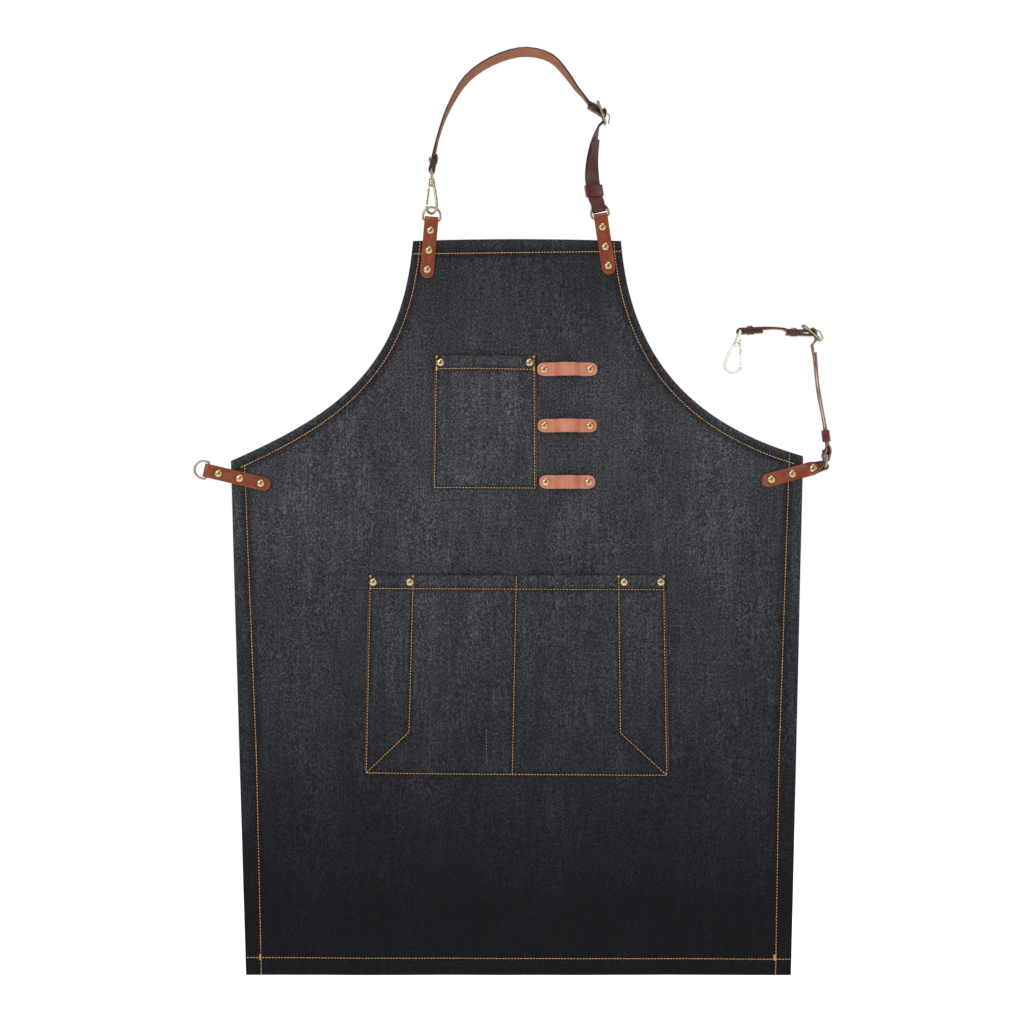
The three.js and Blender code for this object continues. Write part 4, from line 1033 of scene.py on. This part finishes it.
def lower_pocket(model: Model, finishes: Finishes, cloth: ApronCloth) -> PatchPocket:
    """The wide pocket of four compartments, the outer two cut off by slanting seams."""
    foot_left, foot_right = (-159.6, -759.2), (158.6, -761.8)
    tack_places = ((-155.3, -551), (-110, -551), (107.6, -551), (155.3, -551))
    return PatchPocket(
        model,
        finishes,
        cloth,
        "lower_pocket",
        corners=((-157.4, -550.3), (-161.8, -763.3), (161.8, -763.3), (157.4, -550.3)),
        sewn=[
            [(-155.2, -550.5), foot_left, (-30, -760.8), foot_right, (155.2, -550.5)],
            [(-110.0, -550.5), (-114.4, -715.9), foot_left],
            [(-0.7, -550.5), (-5.0, -761.0)],
            [(107.6, -550.5), (109.6, -717.0), foot_right],
        ],
        hem_row=[(-156.4, -563.9), (-60, -564.3), (50, -564.9), (156.4, -565.2)],
        tacks=[[(x - 1.3, z), (x + 1.3, z)] for x, z in tack_places],
        edge_rows=[[(157.2, -567), (160.4, -757)], [(-157.2, -567), (-161.0, -757)]],
        flat=(0.345, 0.240),
        faint=[[(-32.4, -712), (-32.2, -752)]],
        puff=3.8,
    )


# ---------------------------------------------------------------- leather
class Side(Enum):
    """The faces of a strip of leather, in the order of their materials."""

    GRAIN = 0
    EDGE = 1
    FLESH = 2
    RAW = 3


@dataclass
class LeatherGoods:
    """Tabs, pen loops, straps and keepers, each cut from its own leather.

    Sizes are in metres. Leather deeper than `thickest` behind a face shows a cut edge there. `crown` is the
    middle of the neck strap's arch and `tails` the stretch across where the short waist strap shows its back.
    """

    model: Model
    finishes: Finishes
    thickest: float = 3.0 * MM
    bevel: float = 0.3 * MM
    bevel_steps: int = 3
    crown: tuple[float, float] = (0.0, -70 * MM)
    crown_foot: float = -100 * MM
    tails: tuple[float, float] = (262 * MM, 284 * MM)
    arch_grain: float = 0.36 * MM
    arch_passes: int = 5
    arch_window: float = 3.5 * MM
    arch_span: tuple[float, float] = (0.52, 0.66)
    pressed_reach: float = 9.5 * MM
    pressed_gap: float = 0.7 * MM
    widest_gap: float = 6.0 * MM
    folded: tuple[str, ...] = ("neck_strap", "waist_short_strap")
    raw_edged: tuple[str, ...] = ("waist_adjuster_strap", "waist_short_strap")
    bent: tuple[str, ...] = ("waist_tab_right", "waist_adjuster_strap", "neck_adjuster_strap", "neck_strap")

    def _side(self, node: str, at: Vector, normal: Vector, deep: float) -> Side:
        """Which side of the leather a face is.

        Args:
            node: The CAD node.
            at: The face's middle.
            normal: Its outward direction.
            deep: How much leather lies behind it.

        Returns:
            The side.
        """
        if deep > self.thickest:
            return Side.RAW if node in self.raw_edged else Side.EDGE
        if node == "neck_strap":
            out = Vector((at.x - self.crown[0], 0, at.z - self.crown[1])).normalized()
            above = at.z > self.crown_foot
            return Side.FLESH if above and normal.dot(out) < 0.1 and normal.y < 0.5 else Side.GRAIN
        if node == "waist_short_strap":
            between = self.tails[0] < at.x < self.tails[1]
            return Side.FLESH if between and normal.z < -0.3 else Side.GRAIN
        return Side.GRAIN

    def _mark_sides(self, piece: bpy.types.Object, node: str) -> None:
        """Gives each face the material of its side."""
        mesh = piece.data
        tree = tree_of(mesh)
        for face in mesh.polygons:
            hit = tree.ray_cast(face.center - face.normal * 0.02 * MM, -face.normal)
            face.material_index = self._side(node, face.center, face.normal, hit[3] or 0.0).value

    def _press_layers(self, piece: bpy.types.Object, node: str) -> None:
        """Presses the two layers of a folded strap together round its rivets."""
        mesh = piece.data
        tree = tree_of(mesh)
        normals = [p.normal.copy() for p in mesh.polygons]
        push = np.zeros((len(mesh.vertices), 3))
        count = np.zeros(len(mesh.vertices))
        for rivet in self.model.named(f"{node.split('_')[0]}_strap_rivet"):
            low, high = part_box(rivet)
            middle = (low + high) / 2
            for face in mesh.polygons:
                if (face.center - middle).length > self.pressed_reach:
                    continue
                _, _, index, gap = tree.ray_cast(face.center + face.normal * 0.01 * MM, face.normal)
                if index is None or gap > self.widest_gap or normals[index].dot(face.normal) > -0.8:
                    continue
                step = np.array(face.normal) * max(0.0, gap - self.pressed_gap) / 2
                for k in face.vertices:
                    push[k] += step
                    count[k] += 1
        moved = push / np.maximum(count, 1)[:, None]
        for vertex, step in zip(mesh.vertices, moved):
            vertex.co += Vector(step)
        mesh.update()

    def _arch(self, piece: bpy.types.Object) -> None:
        """Rounds a pen loop's folds into one soft arch, its outline kept."""
        rounded(piece, self.arch_grain, self.arch_passes)
        mesh = piece.data
        points = np.array([v.co for v in mesh.vertices], float)
        tree = tree_of(mesh)
        low, high = points.min(axis=0), points.max(axis=0)
        across = np.linspace(low[0] + 0.6 * MM, high[0] - 0.6 * MM, 241)
        middle = (low[2] + high[2]) / 2
        hits = [tree.ray_cast(Vector((x, low[1] - 0.01, middle)), Vector((0, 1, 0)))[0] for x in across]
        raw = np.array([hit.y if hit else low[1] for hit in hits])
        reach = max(1, int(self.arch_window / (across[1] - across[0])))
        window = np.hanning(2 * reach + 1)
        soft = np.convolve(np.pad(raw, reach, mode="edge"), window / window.sum(), mode="valid")
        centre = (low[0] + high[0]) / 2
        inside = 1 - smoothstep(*self.arch_span, np.abs(across - centre) / (high[0] - centre))
        points[:, 1] += np.interp(points[:, 0], across, (soft - raw) * inside)
        for vertex, point in zip(mesh.vertices, points):
            vertex.co = point
        mesh.update()
        for face in mesh.polygons:
            face.material_index = (Side.EDGE if abs(face.normal.y) < 0.55 else Side.GRAIN).value

    def _skive(self, piece: bpy.types.Object, node: str) -> None:
        """Softens the cut edges of a straight piece."""
        with editing(piece):
            bpy.ops.mesh.dissolve_limited(angle_limit=math.radians(0.4), delimit={"NORMAL"})
        self._mark_sides(piece, node)
        apply_modifier(
            piece,
            "skived_edges",
            "BEVEL",
            width=self.bevel,
            segments=self.bevel_steps,
            limit_method="ANGLE",
            angle_limit=math.radians(48),
            use_clamp_overlap=True,
            material=Side.EDGE.value,
        )

    def build(self) -> None:
        """Makes every leather piece."""
        for node, slot in sorted(self.model.slot_of.items()):
            if slot not in self.finishes.leather:
                continue
            piece = self.model.copy(node, f"{node}_leather")
            for side in self.finishes.leather[slot]:
                piece.data.materials.append(side.material)
            if node in self.folded:
                self._press_layers(piece, node)
            if node.startswith("pen_loop"):
                self._arch(piece)
            elif node in self.bent:
                self._mark_sides(piece, node)
            else:
                self._skive(piece, node)
            smooth(piece, SOFT_TURN if node.startswith("pen_loop") else CUT_TURN)
            self.model.stand_in(piece, node)


# ---------------------------------------------------------------- metal
@dataclass
class Rivets:
    """Domed rivets: a cap in front and one behind. `steps` are a cap's insets and lifts, rim to crown."""

    model: Model
    finishes: Finishes
    sides: int = 28
    rise: float = 1.5 * MM
    rim: float = 0.35 * MM
    full_radius: float = 3.8
    steps: Line = ((0.25, 0.24), (0.45, 0.36), (0.75, 0.34), (0.85, 0.18), (0.8, 0.06))
    grain: float = 0.22 * MM
    passes: int = 6

    def _cap(self, radius: float, height: float) -> tuple[np.ndarray, list[tuple[int, ...]]]:
        """A domed cap on the plane Y = 0, pointing along -Y: its points and faces."""
        bpy.ops.object.select_all(action="DESELECT")
        bpy.ops.mesh.primitive_cylinder_add(
            vertices=self.sides,
            radius=radius,
            depth=self.rim,
            location=(0, -self.rim / 2, 0),
            rotation=(math.pi / 2, 0, 0),
        )
        cap = bpy.context.object
        bpy.ops.object.transform_apply(location=True, rotation=True, scale=True)
        bpy.context.tool_settings.mesh_select_mode = (False, False, True)
        for polygon in cap.data.polygons:
            polygon.select = polygon.normal.y < -0.9
        bpy.ops.object.mode_set(mode="EDIT")
        total = sum(lift for _, lift in self.steps)
        for inset, lift in self.steps:
            bpy.ops.mesh.inset(thickness=inset * radius / self.full_radius)
            bpy.ops.transform.translate(value=(0, -lift / total * (height - self.rim), 0))
        bpy.ops.object.mode_set(mode="OBJECT")
        return points_and_faces(cap)

    def build(self) -> None:
        """Makes every rivet that passes straight through the cloth, and the four of the straps."""
        for node in self.model.named("rivet"):
            if "strap" in node:
                piece = self.model.copy(node, f"{node}_cap")
                rounded(piece, self.grain, self.passes)
            else:
                low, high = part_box(node)
                radius = (high.x - low.x) / 2
                middle = (low + high) / 2
                cap, faces = self._cap(radius, self.rise)
                front = cap + [middle.x, low.y + self.rise, middle.z]
                back = cap * [1, -0.999, 1] + [middle.x, high.y - self.rise, middle.z]
                count = len(cap)
                turned = [tuple(count + k for k in reversed(f)) for f in faces]
                piece = new_piece(f"{node}_cap", np.concatenate([front, back]), [*faces, *turned])
                smooth(piece, 40)
            self.finishes.brass.dress(piece)
            self.model.stand_in(piece, node)


@dataclass
class Hardware:
    """Rings, buckles and swivel snaps, cast and bent from brass wire.

    `cast_thicker` is what is added to the snaps' hooks and swivels in metres, growing from none to all of it
    over the two distances of `clear` from the gate.
    """

    model: Model
    finishes: Finishes
    grain: float = 0.21 * MM
    passes: int = 14
    cast_thicker: Sequence[tuple[str, float]] = (("waist_snap", 0.5 * MM), ("neck_snap", 0.28 * MM))
    clear: tuple[float, float] = (0.9 * MM, 2.6 * MM)
    kinds: tuple[str, ...] = (
        "dring",
        "buckle_frame",
        "buckle_prong",
        "snap_swivel",
        "snap_hook",
        "snap_gate",
    )

    def _thicken(self, piece: bpy.types.Object, node: str) -> None:
        """Gives a cast hook or swivel its real weight, less so near its gate."""
        amount = next((extra for word, extra in self.cast_thicker if node.startswith(word)), 0.0)
        if not amount or "gate" in node:
            return
        tree = tree_of(self.model.nodes[f"{node.split('_')[0]}_snap_gate"].data)
        vertices = piece.data.vertices
        normals = [v.normal.copy() for v in vertices]
        away = np.array([tree.find_nearest(v.co)[3] for v in vertices])
        for vertex, normal, share in zip(vertices, normals, smoothstep(*self.clear, away)):
            vertex.co += normal * (amount * float(share))

    def build(self) -> None:
        """Makes every ring, buckle part and snap part."""
        for word in self.kinds:
            for node in self.model.named(word):
                piece = self.model.copy(node, f"{node}_metal")
                pale = node.startswith("waist_snap")
                if pale:
                    smooth(piece, SOFT_TURN)
                else:
                    rounded(piece, self.grain, self.passes)
                self._thicken(piece, node)
                (self.finishes.pale_brass if pale else self.finishes.aged_brass).dress(piece)
                self.model.stand_in(piece, node)


# ---------------------------------------------------------------- studio
@dataclass(frozen=True)
class Lamp:
    """One area lamp aimed at the middle of the apron; metres and watts."""

    name: str
    place: tuple[float, float, float]
    size: float
    power: float


@dataclass
class Studio:
    """A pale floor, soft light and the camera."""

    view_wide: float = 1.085
    centre: tuple[float, float] = (-0.0053, -0.483)
    lens: float = 85.0
    sensor: float = 36.0
    floor_size: float = 6.0
    floor_depth: float = 0.12
    floor_glow: float = 0.75
    horizon: Colour = (0.62, 0.62, 0.62)
    ceiling: Colour = (0.10, 0.10, 0.105)
    dark_wall: Colour = (0.06, 0.06, 0.06)
    lamps: tuple[Lamp, ...] = (
        Lamp("key", (-1.5, -2.3, 0.9), 1.4, 34),
        Lamp("fill", (1.9, -2.2, 0.2), 1.8, 12),
        Lamp("top", (0.2, -0.6, 1.6), 1.2, 14),
        Lamp("back", (0.6, 2.4, 0.6), 2.0, 24),
    )

    def build(self) -> None:
        """Sets the floor, the world, the lamps and the camera."""
        bpy.context.scene.view_settings.view_transform = "Standard"
        self._floor()
        self._world()
        for lamp in self.lamps:
            self._light(lamp)
        self._camera()

    def _floor(self) -> None:
        """A pale floor below the apron."""
        low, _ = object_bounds()
        bpy.ops.object.select_all(action="DESELECT")
        place = (0, 0, low[2] - self.floor_depth)
        bpy.ops.mesh.primitive_plane_add(size=self.floor_size, location=place)
        floor = bpy.context.object
        floor.name = "floor"
        surface = Shader("pale_floor", 0.7)
        surface.look("Base Color", (0.9, 0.9, 0.9))
        surface.look("Emission Color", (1, 1, 1))
        surface.look("Emission Strength", self.floor_glow)
        surface.dress(floor)
        floor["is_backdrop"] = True

    def _world(self) -> None:
        """A white background, lit by a dome that darkens overhead and in front."""
        world = bpy.data.worlds.new("pale_studio")
        world.use_nodes = True
        sky = Nodes(world.node_tree)
        _, ahead, up = sky.axes("Generated")
        walls = sky.mix(ahead.between(-0.97, -0.72), self.dark_wall, self.horizon)
        dome = sky.mix(up.between(0.10, 0.75), walls, self.ceiling)
        seen = sky.node("ShaderNodeLightPath").outputs["Is Camera Ray"]
        colour = sky.mix(seen, dome, (1, 1, 1))
        glow = sky.node("ShaderNodeBackground", {}, {"Color": colour, "Strength": 1.0})
        output = sky.node("ShaderNodeOutputWorld")
        sky.tree.links.new(glow.outputs[0], output.inputs["Surface"])
        bpy.context.scene.world = world

    def _light(self, lamp: Lamp) -> None:
        """Hangs one lamp; the one behind the apron leaves no highlights."""
        light = bpy.data.lights.new(lamp.name, "AREA")
        light.size = lamp.size
        light.energy = lamp.power
        target = Vector((self.centre[0], 0, self.centre[1]))
        holder = bpy.data.objects.new(lamp.name, light)
        holder.location = lamp.place
        holder.visible_glossy = lamp.name != "back"
        holder.rotation_euler = (target - Vector(lamp.place)).to_track_quat("-Z", "Y").to_euler()
        bpy.context.scene.collection.objects.link(holder)

    def _camera(self) -> None:
        """Looks straight at the front."""
        camera = bpy.data.cameras.new("camera")
        camera.lens = self.lens
        camera.sensor_width = self.sensor
        view = bpy.data.objects.new("camera", camera)
        view.location = (self.centre[0], -self.view_wide * self.lens / self.sensor, self.centre[1])
        view.rotation_euler = (math.pi / 2, 0, 0)
        bpy.context.scene.collection.objects.link(view)
        bpy.context.scene.camera = view


def held_places(model: Model) -> np.ndarray:
    """Where rivets, tabs and pen loops hold the cloth flat, across and down in millimetres."""
    places = [model.middle(n) for n in model.named("rivet") if "strap" not in n]
    for node in [*model.named("_tab_"), *model.named("pen_loop")]:
        if "rivet" in node:
            continue
        low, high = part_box(node)
        across = np.linspace(low.x, high.x, 6) / MM
        down = np.linspace(low.z, high.z, 6) / MM
        places.extend((a, b) for a in across for b in down)
    return np.array(places)


def main() -> None:
    """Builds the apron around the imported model."""
    logging.basicConfig(level=logging.INFO, format="%(name)s: %(message)s")
    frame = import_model()
    model = Model(frame)
    finishes = Finishes()
    Studio().build()
    cloth = ApronCloth(model, finishes, Drape(held_places(model)))
    cloth.build()
    chest_pocket(model, finishes, cloth).build()
    lower_pocket(model, finishes, cloth).build()
    LeatherGoods(model, finishes).build()
    Rivets(model, finishes).build()
    Hardware(model, finishes).build()


if __name__ == "__main__":
    main()
